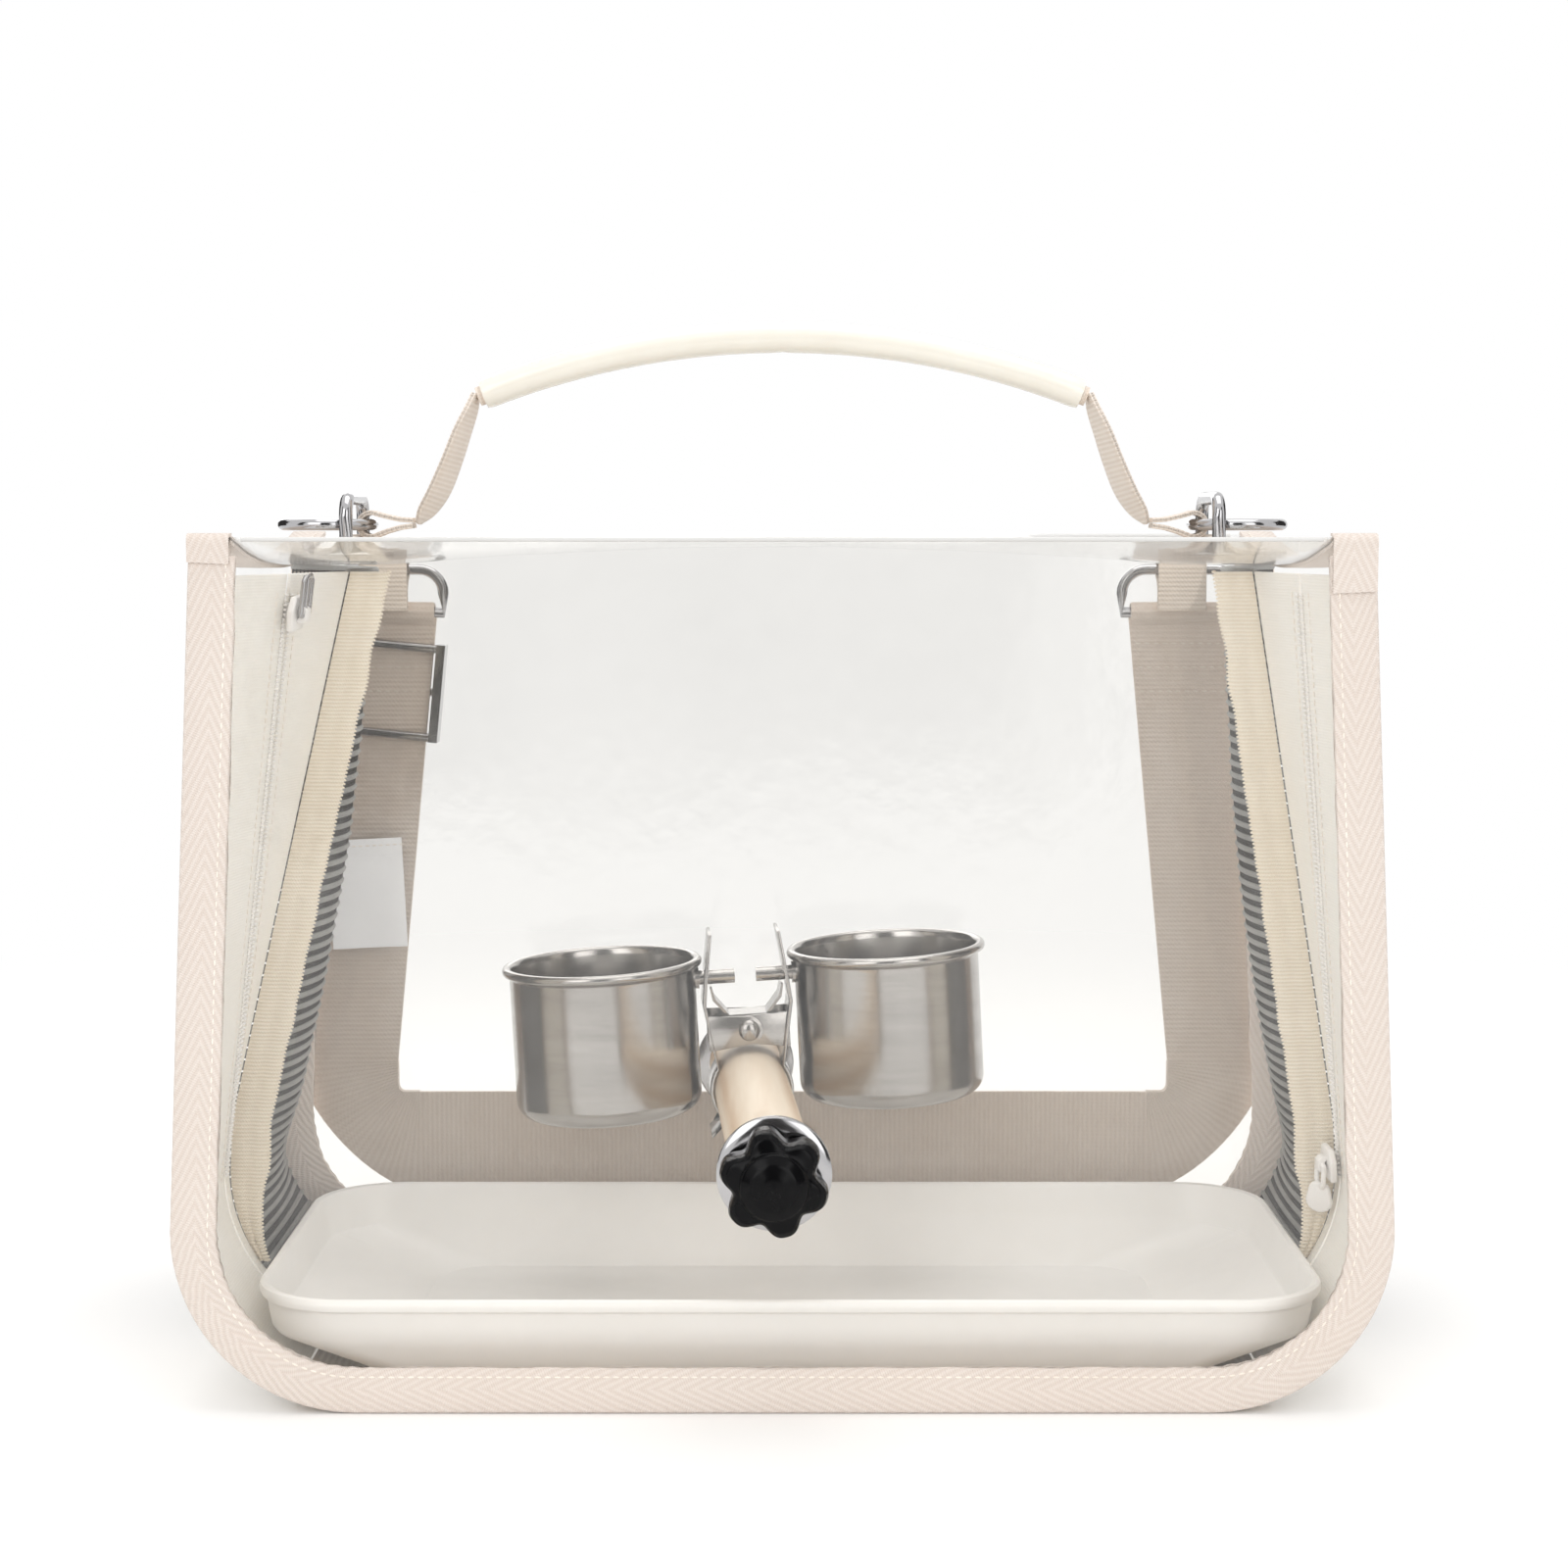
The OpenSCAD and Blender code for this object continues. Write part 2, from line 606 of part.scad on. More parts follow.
module webbing_tab_left() { webbing_tab(-1); }
module webbing_tab_right() { webbing_tab(1); }

// Sewn end of the handle's webbing: a tear-shaped loop round the flat ring
end_w = 8;
module handle_end(s) {
    r_in = o_wire / 2 + 1;
    r_out = r_in + web_t;
    color("antiquewhite") on_side(s) difference() {
        union() {
            translate([loop_x, 0, o_z]) y_rod(r_out, -end_w / 2, end_w);
            upright(-end_w / 2, end_w) polygon([
                [neck_x + 0.2, neck_z - web_t], [neck_x + 0.2, neck_z + web_t],
                [loop_x - 1.2, o_z + r_out - 0.5], [loop_x - 1.2, o_z - r_out + 0.5]]);
        }
        translate([loop_x, 0, o_z]) y_rod(r_in, -end_w, 2 * end_w);
    }
}
module handle_end_left() { handle_end(-1); }
module handle_end_right() { handle_end(1); }

// Legs of the handle: each is a ribbon that turns from edge-on at the grip to flatter below
leg_path = [[80.6, 252.4], [82, 248], [84.5, 242], [87.5, 234], [91, 226], [94.6, 220.4], [96.8, 217.5]];
leg_turn = [8, 12, 17, 21, 25, 20, 0];
leg_width = [0.42, 0.7, 0.92, 1, 1, 0.8, 0.4];
grip_half = grip_chord / 2;
grip_drop = grip_top - grip_d / 2;
leg_low = [neck_x - neck_gap - 0.3, neck_z];
function leg_pt(k) =
    let (top = [grip_half + 0.6, grip_drop - grip_rise + 0.9],
         a = leg_path[0], b = leg_path[len(leg_path) - 1], p = leg_path[k],
         u = (p[0] - a[0]) / (b[0] - a[0]), v = (p[1] - a[1]) / (b[1] - a[1]))
    [lerp(top[0], leg_low[0], u), lerp(top[1], leg_low[1], v)];
module handle_leg(s) {
    n = len(leg_path) - 1;
    rings = [for (k = [0 : n])
        let (p = leg_pt(k), q = leg_pt(min(k + 1, n)) - leg_pt(max(k - 1, 0)),
             d = unit([q[0], 0, q[1]]), a = leg_turn[k],
             w = unit([sin(a) * -d[2], cos(a), sin(a) * d[0]]) * web_w * leg_width[k] / 2,
             h = unit(cross(d, w)) * web_t / 2, c = [p[0], 0, p[1]])
        [c - w - h, c + w - h, c + w + h, c - w + h]];
    on_side(s) loft(rings);
}
grip_r = (pow(grip_half, 2) + pow(grip_rise, 2)) / (2 * grip_rise);
grip_a = asin(grip_half / grip_r);
module grip_arc(r_out, r_in, half_a) {
    translate([0, 0, grip_drop - grip_r]) rotate([90, 0, 0]) rotate([0, 0, 90 - half_a])
        rotate_extrude(angle = 2 * half_a) translate([grip_r, 0]) difference() {
            circle(r_out, $fn = 32);
            if (r_in > 0) circle(r_in, $fn = 32);
        }
}
grip_core = grip_d / 2 - 1.3;
module handle_webbing() {
    color("antiquewhite") {
        grip_arc(grip_core - 0.1, 0, grip_a);
        for (s = [-1, 1]) handle_leg(s);
    }
}
module handle_grip() {
    color("ghostwhite") grip_arc(grip_d / 2, grip_core, grip_a - 0.4);
}

// ---- Perch ----

perch_end = sheet_in - washer_t;
perch_yaw = atan((perch_x - perch_back_x) / (2 * perch_end));
function perch_at(y) = lerp(perch_x, perch_back_x, (y + perch_end) / (2 * perch_end));
stud_in = 14;                        // depth of a stud in the perch
knob_bore = knob_h - 5;
lobe_turn = 43;                      // angle of the knob's first lobe
rear_washer_t = 1;
rear_washer_d = 17;
module perch() {
    color("burlywood") difference() {
        intersection() {
            translate([perch_at(0), 0, perch_z]) rotate([0, 0, perch_yaw]) y_rod(perch_d / 2, -bag_d / 2, bag_d);
            translate([-bag_w / 2, -perch_end, 0]) cube([bag_w, 2 * perch_end, bag_h]);
        }
        for (s = [-1, 1]) at_end(s) y_rod(stud_d / 2, s > 0 ? perch_end - stud_in : -perch_end - 1, stud_in + 1);
    }
}
module perch_studs() {
    front_l = washer_t + knob_bore - 1 + half_d - perch_end + stud_in;
    back_l = stud_in + half_d - perch_end + rear_washer_t + 4;
    color("silver") {
        at_end(-1) y_rod(stud_d / 2, -half_d - washer_t - knob_bore + 1, front_l);
        at_end(1) y_rod(stud_d / 2, perch_end - stud_in, back_l);
    }
}
module ring_washer(d, t, y) {
    at_end(y) difference() {
        y_rod(d / 2, y, t);
        y_rod(stud_d / 2 + 0.1, y - 1, t + 2);
    }
}
module inner_washers() {
    color("silver") {
        ring_washer(washer_d, washer_t, -sheet_in);
        ring_washer(washer_d, washer_t, perch_end);
    }
}
module outer_washers() {
    color("silver") {
        ring_washer(washer_d, washer_t, -half_d - washer_t);
        ring_washer(rear_washer_d, rear_washer_t, half_d);
    }
}
module rear_cap_nut() {
    color("silver") at_end(1) translate([0, half_d + rear_washer_t, 0]) difference() {
        union() {
            rotate([-90, 0, 0]) cylinder(r = stud_d * 0.9, h = 3.6, $fn = 6);
            rotate([-90, 0, 0]) cylinder(r = stud_d * 0.78, h = 4.6);
            intersection() {
                translate([0, 2.6, 0]) sphere(stud_d * 0.78);
                translate([-10, 0, -10]) cube([20, 20, 20]);
            }
        }
        y_rod(stud_d / 2 + eps, -1, 5 + eps);
    }
}

// Star knob: lobes and hollows as arcs, cut by a turned profile that rounds its edges
module star_2d() {
    core = knob_d * 0.385;
    lobe = knob_d * 0.14;
    difference() {
        union() {
            circle(core);
            for (k = [0 : knob_lobes - 1]) rotate(k * 360 / knob_lobes + lobe_turn)
                translate([knob_d / 2 - lobe, 0]) circle(lobe);
            for (k = [0 : knob_lobes - 1]) rotate(k * 360 / knob_lobes + lobe_turn)
                translate([0, -lobe]) square([knob_d / 2 - lobe, 2 * lobe]);
        }
        for (k = [0 : knob_lobes - 1]) rotate((k + 0.5) * 360 / knob_lobes + lobe_turn)
            translate([knob_d * 0.505, 0]) circle(knob_d * 0.115);
    }
}
module star_knob() {
    skirt = 2.5;
    color("#1c1c1e") at_end(-1) translate([0, -half_d - washer_t, 0]) rotate([90, 0, 0]) difference() {
        union() {
            cylinder(r = knob_d * 0.36, h = skirt);
            intersection() {
                translate([0, 0, skirt - eps]) linear_extrude(knob_h) star_2d();
                rotate_extrude() polygon([
                    [0, 0], [knob_d / 2 - 1, 0], [knob_d / 2 + 0.5, 2.5], [knob_d / 2 + 0.5, knob_h * 0.62],
                    [knob_d / 2 - 1, knob_h * 0.74], [knob_d * 0.33, knob_h * 0.8], [0, knob_h * 0.8]]);
            }
            translate([0, 0, knob_h - knob_d * 0.49]) intersection() {
                sphere(knob_d * 0.49, $fn = 96);
                translate([0, 0, knob_d * 0.49 - knob_h * 0.5]) cylinder(r = knob_d * 0.315, h = knob_h);
            }
        }
        translate([0, 0, -1]) cylinder(r = stud_d / 2 + run, h = knob_bore + 1);
    }
}

// ---- Cup clip ----

// Everything on the clip stands in a frame whose origin is the rivet's middle
module at_clip() {
    translate([perch_at(clip_y), clip_y, perch_z]) rotate([0, -clip_lean, perch_yaw])
        translate([0, 0, rivet_h]) children();
}
jaw_in = perch_d / 2 + 0.15;         // radius of a jaw's inside, about the perch's axis
jaw_out = jaw_in + steel_t;
hug_hi = 35;
hug_lo = -48;
ear_top = 27.5;
function arc(r, a0, a1, n) = [for (k = [0 : n]) let (a = lerp(a0, a1, k / n)) [r * cos(a), -rivet_h + r * sin(a)]];
// Side of a jaw from the ear's tip to the flared toe, as a band of steel
module jaw_band() {
    ear_x = jaw_out * 0.86;
    mid_x = cup_x - cup_d / 2 - 1.6;
    toe = [(jaw_out + 1.4) * cos(hug_lo) + 3.4, -rivet_h + jaw_in * sin(hug_lo) - 4.2];
    outer = concat(
        [[ear_x, ear_top], [mid_x - 0.6, pin_over], [mid_x + 0.2, pin_over - 7], [mid_x - 0.9, 1]],
        arc(jaw_out, hug_hi, hug_lo, 12), [toe]);
    inner = concat(
        [toe - [0.2, steel_t * 1.2]], arc(jaw_in, hug_lo, hug_hi, 12),
        [[mid_x - 0.9 - steel_t, 0.6], [mid_x + 0.2 - steel_t, pin_over - 7],
         [mid_x - 0.6 - steel_t, pin_over], [ear_x - steel_t, ear_top]]);
    polygon(concat(outer, inner));
}
// Cheek that carries the rivet, with a round nose past the middle
module cheek(y, r) {
    reach = cup_x - cup_d / 2 - 2.6;
    upright(y, steel_t) {
        circle(r);
        polygon([[0, -r], [reach, -r - 1.5], [reach, r + 0.5], [0, r]]);
    }
}
rivet_r = 1.6;
module jaw(s, y_cheek) {
    color("gainsboro") at_clip() on_side(s) difference() {
        union() {
            upright(-clip_w / 2, clip_w) jaw_band();
            for (q = [-1, 1]) cheek(q * (y_cheek - steel_t / 2) - steel_t / 2, 4);
        }
        y_rod(rivet_r + run, -clip_w, 2 * clip_w);
        translate([0, 0, pin_over]) x_rod(pin_d / 2 + run, 0, cup_x);
    }
}
module clip_jaw_left() { jaw(-1, clip_w / 2); }
cheek_play = 0.15;                   // play between the cheeks of the two jaws
module clip_jaw_right() { jaw(1, clip_w / 2 - steel_t - cheek_play); }

module clip_rivet() {
    head = 3;
    head_t = 1.3;
    color("silver") at_clip() {
        y_rod(rivet_r, -clip_w / 2 - 0.1, clip_w + 0.2);
        for (q = [-1, 1]) translate([0, q * (clip_w / 2 + 0.1), 0]) intersection() {
            sphere(head);
            translate([-2 * head, q > 0 ? 0 : -head_t, -2 * head]) cube([4 * head, head_t, 4 * head]);
        }
    }
}

// Leaf spring: a U of strip between the ears
module clip_spring() {
    w = clip_w - 4 * steel_t - 2;
    t = 0.6;
    x1 = cup_x - cup_d / 2 - 1.6 - 0.6 - steel_t - 0.5;
    color("darkgray") at_clip() upright(-w / 2, w) difference() {
        polygon([[-x1, 12], [-x1 + 0.6, 8.5], [-5.6, 3.6], [5.6, 3.6], [x1 - 0.6, 8.5], [x1, 12], [x1 - t, 12],
                 [x1 - 1.4, 8.8], [5.2, 3.6 + t], [-5.2, 3.6 + t], [-x1 + 1.4, 8.8], [-x1 + t, 12]]);
    }
}

// Cup: turned shell with a rolled rim and a rounded bottom
module cup_profile() {
    r = cup_d / 2;
    b = 5;                           // radius of the bottom edge
    rim = 1.3;
    difference() {
        union() {
            square([r - b, cup_h - b]);
            translate([0, b]) square([r, cup_h - b]);
            translate([r - b, b]) circle(b);
            translate([r + rim_out - rim, cup_h - rim]) circle(rim);
            translate([r - eps, cup_h - 2 * rim]) square([rim_out - rim, 2 * rim]);
        }
        translate([-b, -b]) square([b, 2 * cup_h]);
        translate([0, cup_wall]) {
            square([r - b, cup_h]);
            translate([0, b - cup_wall]) square([r - cup_wall, cup_h]);
            translate([r - b, b - cup_wall]) circle(b - cup_wall);
        }
    }
}
cup_base = cup_rim_over - cup_h;     // bottom of a cup in the clip's frame
module cup(s) {
    color("gainsboro") at_clip() translate([s * cup_x, 0, cup_base]) rotate_extrude($fn = 96) cup_profile();
}
module cup_left() { cup(-1); }
module cup_right() { cup(1); }

// Pin welded to the cup's side: a foot, a shoulder and a shank through the ear
module cup_pin(s) {
    r = cup_d / 2;
    x_cup = cup_x - r;
    color("silver") at_clip() on_side(s) translate([0, 0, pin_over]) difference() {
        union() {
            x_rod(pin_d / 2, 3, x_cup - 3 + 1);
            x_rod(pin_d / 2 + 1, x_cup - 0.9, 1.6);
        }
        translate([cup_x, 0, -20]) cylinder(r = r, h = 40, $fn = 96);
    }
}
module cup_pin_left() { cup_pin(-1); }
module cup_pin_right() { cup_pin(1); }

// ---- Tray ----

tray_low = base_t + 0.4;             // underside of the tray
tray_knee = 14;                      // height where the lower wall starts to draw in
tray_x = 2;                          // the tray stands a little to the right
tray_w = 2 * (side_x(tray_top) - tray_gap_x);
tray_d = bag_d - 2 * tray_gap_y;
knee_w = 2 * (side_x(tray_knee) - base_t - tray_x - 1.4);
knee_d = tray_d - 6;
foot_w = 2 * (cx - tray_x);
foot_d = tray_d - 16;
module slab(w, d, r, z, t) {
    translate([0, 0, z]) linear_extrude(t) {
        square([w - 2 * r, d], center = true);
        square([w, d - 2 * r], center = true);
        for (a = [-1, 1]) for (b = [-1, 1]) translate([a * (w / 2 - r), b * (d / 2 - r)]) circle(r, $fn = 48);
    }
}
module tray_form(i, z0, z1) {
    hull() {
        slab(foot_w - 2 * i, foot_d - 2 * i, tray_r - 6 - i, z0, eps);
        slab(knee_w - 2 * i, knee_d - 2 * i, tray_r - 2 - i, tray_knee + i * 0.5, eps);
    }
    hull() {
        slab(knee_w - 2 * i, knee_d - 2 * i, tray_r - 2 - i, tray_knee + i * 0.5 - eps, eps);
        slab(tray_w - 2 - 2 * i, tray_d - 2 - 2 * i, tray_r - 1 - i, z1, eps);
    }
}
module tray() {
    lip = 3.2;
    color("lightgray") translate([tray_x, 0, 0]) difference() {
        union() {
            tray_form(0, tray_low, tray_top - eps);
            slab(tray_w, tray_d, tray_r, tray_top - lip, lip);
        }
        tray_form(tray_wall, tray_low + tray_wall, tray_top + 1);
    }
}

// ---- Label ----

label_w = 22;
label_h = 32;
label_t = 0.3;
label_z = 93.5;                      // lower edge of the label
label_gap = 3;                       // the label lies this far inside the edge tape
label_lean = 3;
module care_label() {
    x = side_x(label_z + label_h) - tape_w - label_gap;
    color("white") translate([-x, half_d - sheet_t - seat - label_t, label_z])
        rotate([0, -label_lean, 0]) cube([label_w, label_t, label_h]);
}

// ---- Shoulder strap, stowed behind the back sheet ----

tab_strap_w = 14;
tab_strap_low = 12;                  // the tab is sewn on from this far below its ring's upper bar
tab_strap_h = 18;
module strap_tab(s) {
    r_in = strap_wire / 2 + seat;
    r_out = r_in + web_t;
    color("antiquewhite") on_side(s) translate([strap_x - tab_strap_w / 2, 0, 0]) difference() {
        union() {
            translate([0, half_d, strap_hinge_z - tab_strap_low]) cube([tab_strap_w, web_t, tab_strap_h]);
            translate([0, strap_hinge_y, strap_hinge_z]) x_rod(r_out, 0, tab_strap_w);
            translate([0, half_d, strap_hinge_z]) cube([tab_strap_w, strap_hinge_y - half_d, r_out]);
        }
        translate([0, strap_hinge_y, strap_hinge_z]) x_rod(r_in, -1, tab_strap_w + 2);
    }
}
module strap_tab_left() { strap_tab(-1); }
module strap_tab_right() { strap_tab(1); }

module strap_ring(s) {
    color("silver") on_side(s) translate([strap_x, strap_hinge_y, strap_hinge_z - strap_ring_h])
        rotate([0, 0, 90]) wire_ring(strap_ring_w, strap_ring_h, 7, strap_wire);
}
module strap_ring_left() { strap_ring(-1); }
module strap_ring_right() { strap_ring(1); }

low_inset = 21;                      // the strap's middle lies this far in at the lower corners
low_x = bag_w / 2 - low_inset;
turn_z = strap_low + strap_w * 1.3;
turn_in = 6;                         // the turned corner reaches this far past the strap's inner edge
turn_full = 1.5;                     // 1 would be a straight fold and 2 a round corner
strap_top_z = strap_hinge_z - strap_ring_h - strap_wire / 2 - 1;
strap_out_x = low_x + strap_w / 2;
strap_in_x = low_x - strap_w / 2;
turn_x = strap_in_x - turn_in;
function turn_pt(a) = [
    lerp(turn_x, strap_out_x, pow(cos(a), 2 / turn_full)), lerp(turn_z, strap_low, pow(sin(a), 2 / turn_full))];
module strap_run() {
    polygon(concat(
        [[strap_x - strap_w / 2, strap_top_z], [strap_x + strap_w / 2, strap_top_z]],
        [for (a = [0 : 15 : 90]) turn_pt(a)],
        [[0, strap_low], [0, strap_low + strap_w], [strap_in_x, strap_low + strap_w]]));
}
module strap_fold() {
    polygon(concat(
        [for (a = [0 : 15 : 90]) turn_pt(a)],
        [[turn_x, strap_low + strap_w], [strap_in_x, turn_z]]));
}
module shoulder_strap() {
    bar = strap_hinge_z - strap_ring_h;
    r_in = strap_wire / 2 + 0.1;
    color("tan") for (s = [-1, 1]) on_side(s) {
        upright(strap_y, strap_t) strap_run();
        upright(strap_y + strap_t - eps, strap_t) strap_fold();
        translate([strap_x - strap_w / 2 + 0.5, strap_hinge_y, bar]) difference() {
            union() {
                x_rod(r_in + strap_t, 0, strap_w - 1);
                translate([0, -strap_t / 2, -r_in - strap_t - 1]) cube([strap_w - 1, strap_t, 3]);
            }
            x_rod(r_in, -1, strap_w + 1);
        }
    }
}

// Three-bar slide: two bars in front of the strap, one behind
module strap_adjuster() {
    half = 13;
    wire = 2.6;
    slant = (low_x - strap_x) / (strap_top_z - turn_z);
    x = strap_x + slant * (strap_top_z - adjuster_z);
    w = strap_w + 2 * wire + 1.6;
    y_front = strap_y - wire / 2 - 0.25;
    y_back = strap_y + strap_t + wire / 2 + 0.25;
    color("silver") translate([-x, 0, adjuster_z]) rotate([0, atan(slant), 0]) {
        for (q = [-1, 1]) translate([0, y_front, q * half]) x_rod(wire / 2, -w / 2, w);
        translate([0, y_back, 0]) x_rod(wire / 2, -w / 2, w);
        for (q = [-1, 1]) translate([q * (w - wire) / 2 - wire / 2, y_front - wire / 2, -half - wire / 2])
            cube([wire, y_back - y_front + wire, 2 * half + wire]);
    }
}

front_panel();
back_panel();
top_panel();
base_panel();
front_binding();
back_binding();
top_tape_left();
top_tape_right();
front_gusset_left();
front_gusset_right();
middle_gusset_left();
middle_gusset_right();
mesh_window_left();
mesh_window_right();
seam_ribbon_left();
seam_ribbon_right();
zip_coils_left();
zip_coils_right();
zip_slider_left();
zip_slider_right();
zip_pull_left();
zip_pull_right();
webbing_tab_left();
webbing_tab_right();
d_ring_left();
d_ring_right();
o_ring_left();
o_ring_right();
handle_end_left();
handle_end_right();
handle_webbing();
handle_grip();
perch();
perch_studs();
inner_washers();
outer_washers();
rear_cap_nut();
star_knob();
clip_jaw_left();
clip_jaw_right();
clip_rivet();
clip_spring();
cup_left();
cup_right();
cup_pin_left();
cup_pin_right();
tray();
care_label();
strap_tab_left();
strap_tab_right();
strap_ring_left();
strap_ring_right();
shoulder_strap();
strap_adjuster();
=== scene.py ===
"""Clear bird travel carrier: soft goods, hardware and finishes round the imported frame."""

import json
import logging
from dataclasses import dataclass
from enum import Enum
from functools import cache
from math import acos, asin, atan, atan2, ceil, cos, exp, pi, radians, sin, sqrt
from typing import Callable, Iterable, Sequence

import bmesh
import bpy
from mathutils import Matrix, Vector, noise

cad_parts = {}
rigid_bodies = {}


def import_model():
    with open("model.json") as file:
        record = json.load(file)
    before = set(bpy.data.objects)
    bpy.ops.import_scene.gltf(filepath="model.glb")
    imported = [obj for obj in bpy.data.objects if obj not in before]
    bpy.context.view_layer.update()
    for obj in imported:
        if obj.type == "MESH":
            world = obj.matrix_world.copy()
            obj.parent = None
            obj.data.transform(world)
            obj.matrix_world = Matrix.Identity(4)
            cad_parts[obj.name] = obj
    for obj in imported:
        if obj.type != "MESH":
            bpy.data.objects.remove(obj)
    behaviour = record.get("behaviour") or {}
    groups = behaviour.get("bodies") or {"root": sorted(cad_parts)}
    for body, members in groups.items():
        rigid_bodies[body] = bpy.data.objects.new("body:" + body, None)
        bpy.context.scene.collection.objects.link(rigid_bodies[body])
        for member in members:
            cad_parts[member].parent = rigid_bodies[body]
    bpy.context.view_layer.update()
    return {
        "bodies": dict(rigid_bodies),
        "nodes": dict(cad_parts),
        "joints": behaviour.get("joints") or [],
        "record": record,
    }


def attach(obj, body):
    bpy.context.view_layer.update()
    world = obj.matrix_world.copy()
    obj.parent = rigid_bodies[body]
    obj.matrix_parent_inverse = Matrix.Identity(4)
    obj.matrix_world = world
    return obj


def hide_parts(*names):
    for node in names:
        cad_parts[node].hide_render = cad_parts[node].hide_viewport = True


MM = 0.001
log = logging.getLogger("carrier")
Row = list[Vector]
Piece = bpy.types.Object
Socket = bpy.types.NodeSocket
NodeTree = bpy.types.NodeTree
Material = bpy.types.Material


class Side(Enum):
    """The two ends of the bag."""

    LEFT = -1
    RIGHT = 1

    @property
    def word(self) -> str:
        """The side's name as the nodes spell it."""
        return self.name.lower()


# ---------------------------------------------------------------- mesh helpers


def lerp(a: float, b: float, t: float) -> float:
    """Return the value a share t of the way from a to b."""
    return a + (b - a) * t


def vec(x: float, y: float, z: float) -> Vector:
    """Return a point or a direction."""
    return Vector((x, y, z))


def smooth_step(t: float) -> float:
    """Return a smooth 0 to 1 ramp of t, held outside that range."""
    t = min(1.0, max(0.0, t))
    return t * t * (3 - 2 * t)


def ripple(x: float, y: float, z: float, scale: float, seed: float = 0.0) -> float:
    """Return smooth noise between about -1 and 1.

    Args:
        x: First coordinate in millimetres.
        y: Second coordinate in millimetres.
        z: Third coordinate in millimetres.
        scale: Size of one ripple in millimetres.
        seed: Moves the pattern, so that two pieces differ.

    Returns:
        The noise value.
    """
    return noise.noise(vec(x / scale + seed, y / scale - seed, z / scale + 2 * seed))


def spaced(points: Sequence[Vector], step: float) -> Row:
    """Return points at an even spacing along a line.

    Args:
        points: The corners of the line.
        step: Greatest distance between two of the new points.

    Returns:
        The new points, the first and last being those of the line.
    """
    lengths = [0.0]
    for a, b in zip(points, points[1:]):
        lengths.append(lengths[-1] + (b - a).length)
    count = max(1, ceil(lengths[-1] / step))
    out: Row = []
    k = 0
    for i in range(count + 1):
        d = lengths[-1] * i / count
        while k < len(points) - 2 and lengths[k + 1] < d:
            k += 1
        span = lengths[k + 1] - lengths[k]
        out.append(points[k].lerp(points[k + 1], (d - lengths[k]) / span if span else 0.0))
    return out


def rounded(points: Sequence[Vector], turns: int = 2) -> Row:
    """Return an open line with its corners cut smooth.

    Args:
        points: The corners of the line.
        turns: How often each corner is cut.

    Returns:
        The smoothed line, with the same two ends.
    """
    line = list(points)
    for _ in range(turns):
        new = [line[0]]
        for a, b in zip(line, line[1:]):
            new += [a.lerp(b, 0.25), a.lerp(b, 0.75)]
        new.append(line[-1])
        line = new
    return line


def make_mesh(
    name: str,
    verts: Sequence[Vector],
    faces: Sequence[Sequence[int]],
    uvs: Sequence[tuple[float, float]] | None = None,
    flat: bool = False,
) -> Piece:
    """Make an object from points in millimetres.

    Args:
        name: Name of the piece.
        verts: Points in the row frame, in millimetres.
        faces: Corner numbers of each face.
        uvs: One map position per point, in metres along the surface.
        flat: Whether the faces stay flat shaded.

    Returns:
        The new object, at the origin.
    """
    mesh = bpy.data.meshes.new(name)
    mesh.from_pydata([v * MM for v in verts], [], [list(f) for f in faces])
    if uvs is not None:
        layer = mesh.uv_layers.new(name="UVMap")
        for loop in mesh.loops:
            u, v = uvs[loop.vertex_index]
            layer.data[loop.index].uv = (u * MM, v * MM)
    mesh.update()
    if not flat:
        mesh.shade_smooth()
    obj = bpy.data.objects.new(name, mesh)
    bpy.context.scene.collection.objects.link(obj)
    return obj


def outward(obj: Piece) -> Piece:
    """Merge a closed piece's doubles, turn its faces outwards and return it."""
    bm = bmesh.new()
    bm.from_mesh(obj.data)
    bmesh.ops.remove_doubles(bm, verts=bm.verts, dist=1e-6)
    bmesh.ops.dissolve_degenerate(bm, edges=bm.edges, dist=1e-7)
    bmesh.ops.recalc_face_normals(bm, faces=bm.faces)
    bm.to_mesh(obj.data)
    bm.free()
    return obj


def baked(obj: Piece) -> Piece:
    """Turn an object's modifiers into its mesh and return it."""
    graph = bpy.context.evaluated_depsgraph_get()
    graph.update()
    mesh = bpy.data.meshes.new_from_object(
        obj.evaluated_get(graph), preserve_all_data_layers=True, depsgraph=graph
    )
    old = obj.data
    obj.modifiers.clear()
    obj.data = mesh
    mesh.name = obj.name
    if old.users == 0:
        bpy.data.meshes.remove(old)
    return obj


def sharpened(obj: Piece, degrees: float = 40.0) -> Piece:
    """Keep edges sharper than an angle crisp under smooth shading, and return the object."""
    obj.data.set_sharp_from_angle(angle=radians(degrees))
    return obj


def bevelled(obj: Piece, width: float, segments: int = 2, degrees: float = 35.0) -> Piece:
    """Round the sharp edges of a piece.

    Args:
        obj: The piece.
        width: Width of the rounding in millimetres.
        segments: Faces across the rounding.
        degrees: Edges sharper than this angle are rounded.

    Returns:
        The same object, with the rounding in its mesh.
    """
    mod = obj.modifiers.new("round", "BEVEL")
    mod.width = width * MM
    mod.segments = segments
    mod.limit_method = "ANGLE"
    mod.angle_limit = radians(degrees)
    mod.harden_normals = False
    return baked(obj)


def joined(name: str, objects: Sequence[Piece]) -> Piece:
    """Join several new pieces into one.

    Args:
        name: Name of the joined piece.
        objects: The pieces; the first one's materials come first.

    Returns:
        The joined object.
    """
    bpy.ops.object.select_all(action="DESELECT")
    for o in objects:
        o.select_set(True)
    bpy.context.view_layer.objects.active = objects[0]
    if len(objects) > 1:
        bpy.ops.object.join()
    obj = bpy.context.view_layer.objects.active
    obj.name = name
    obj.data.name = name
    return obj


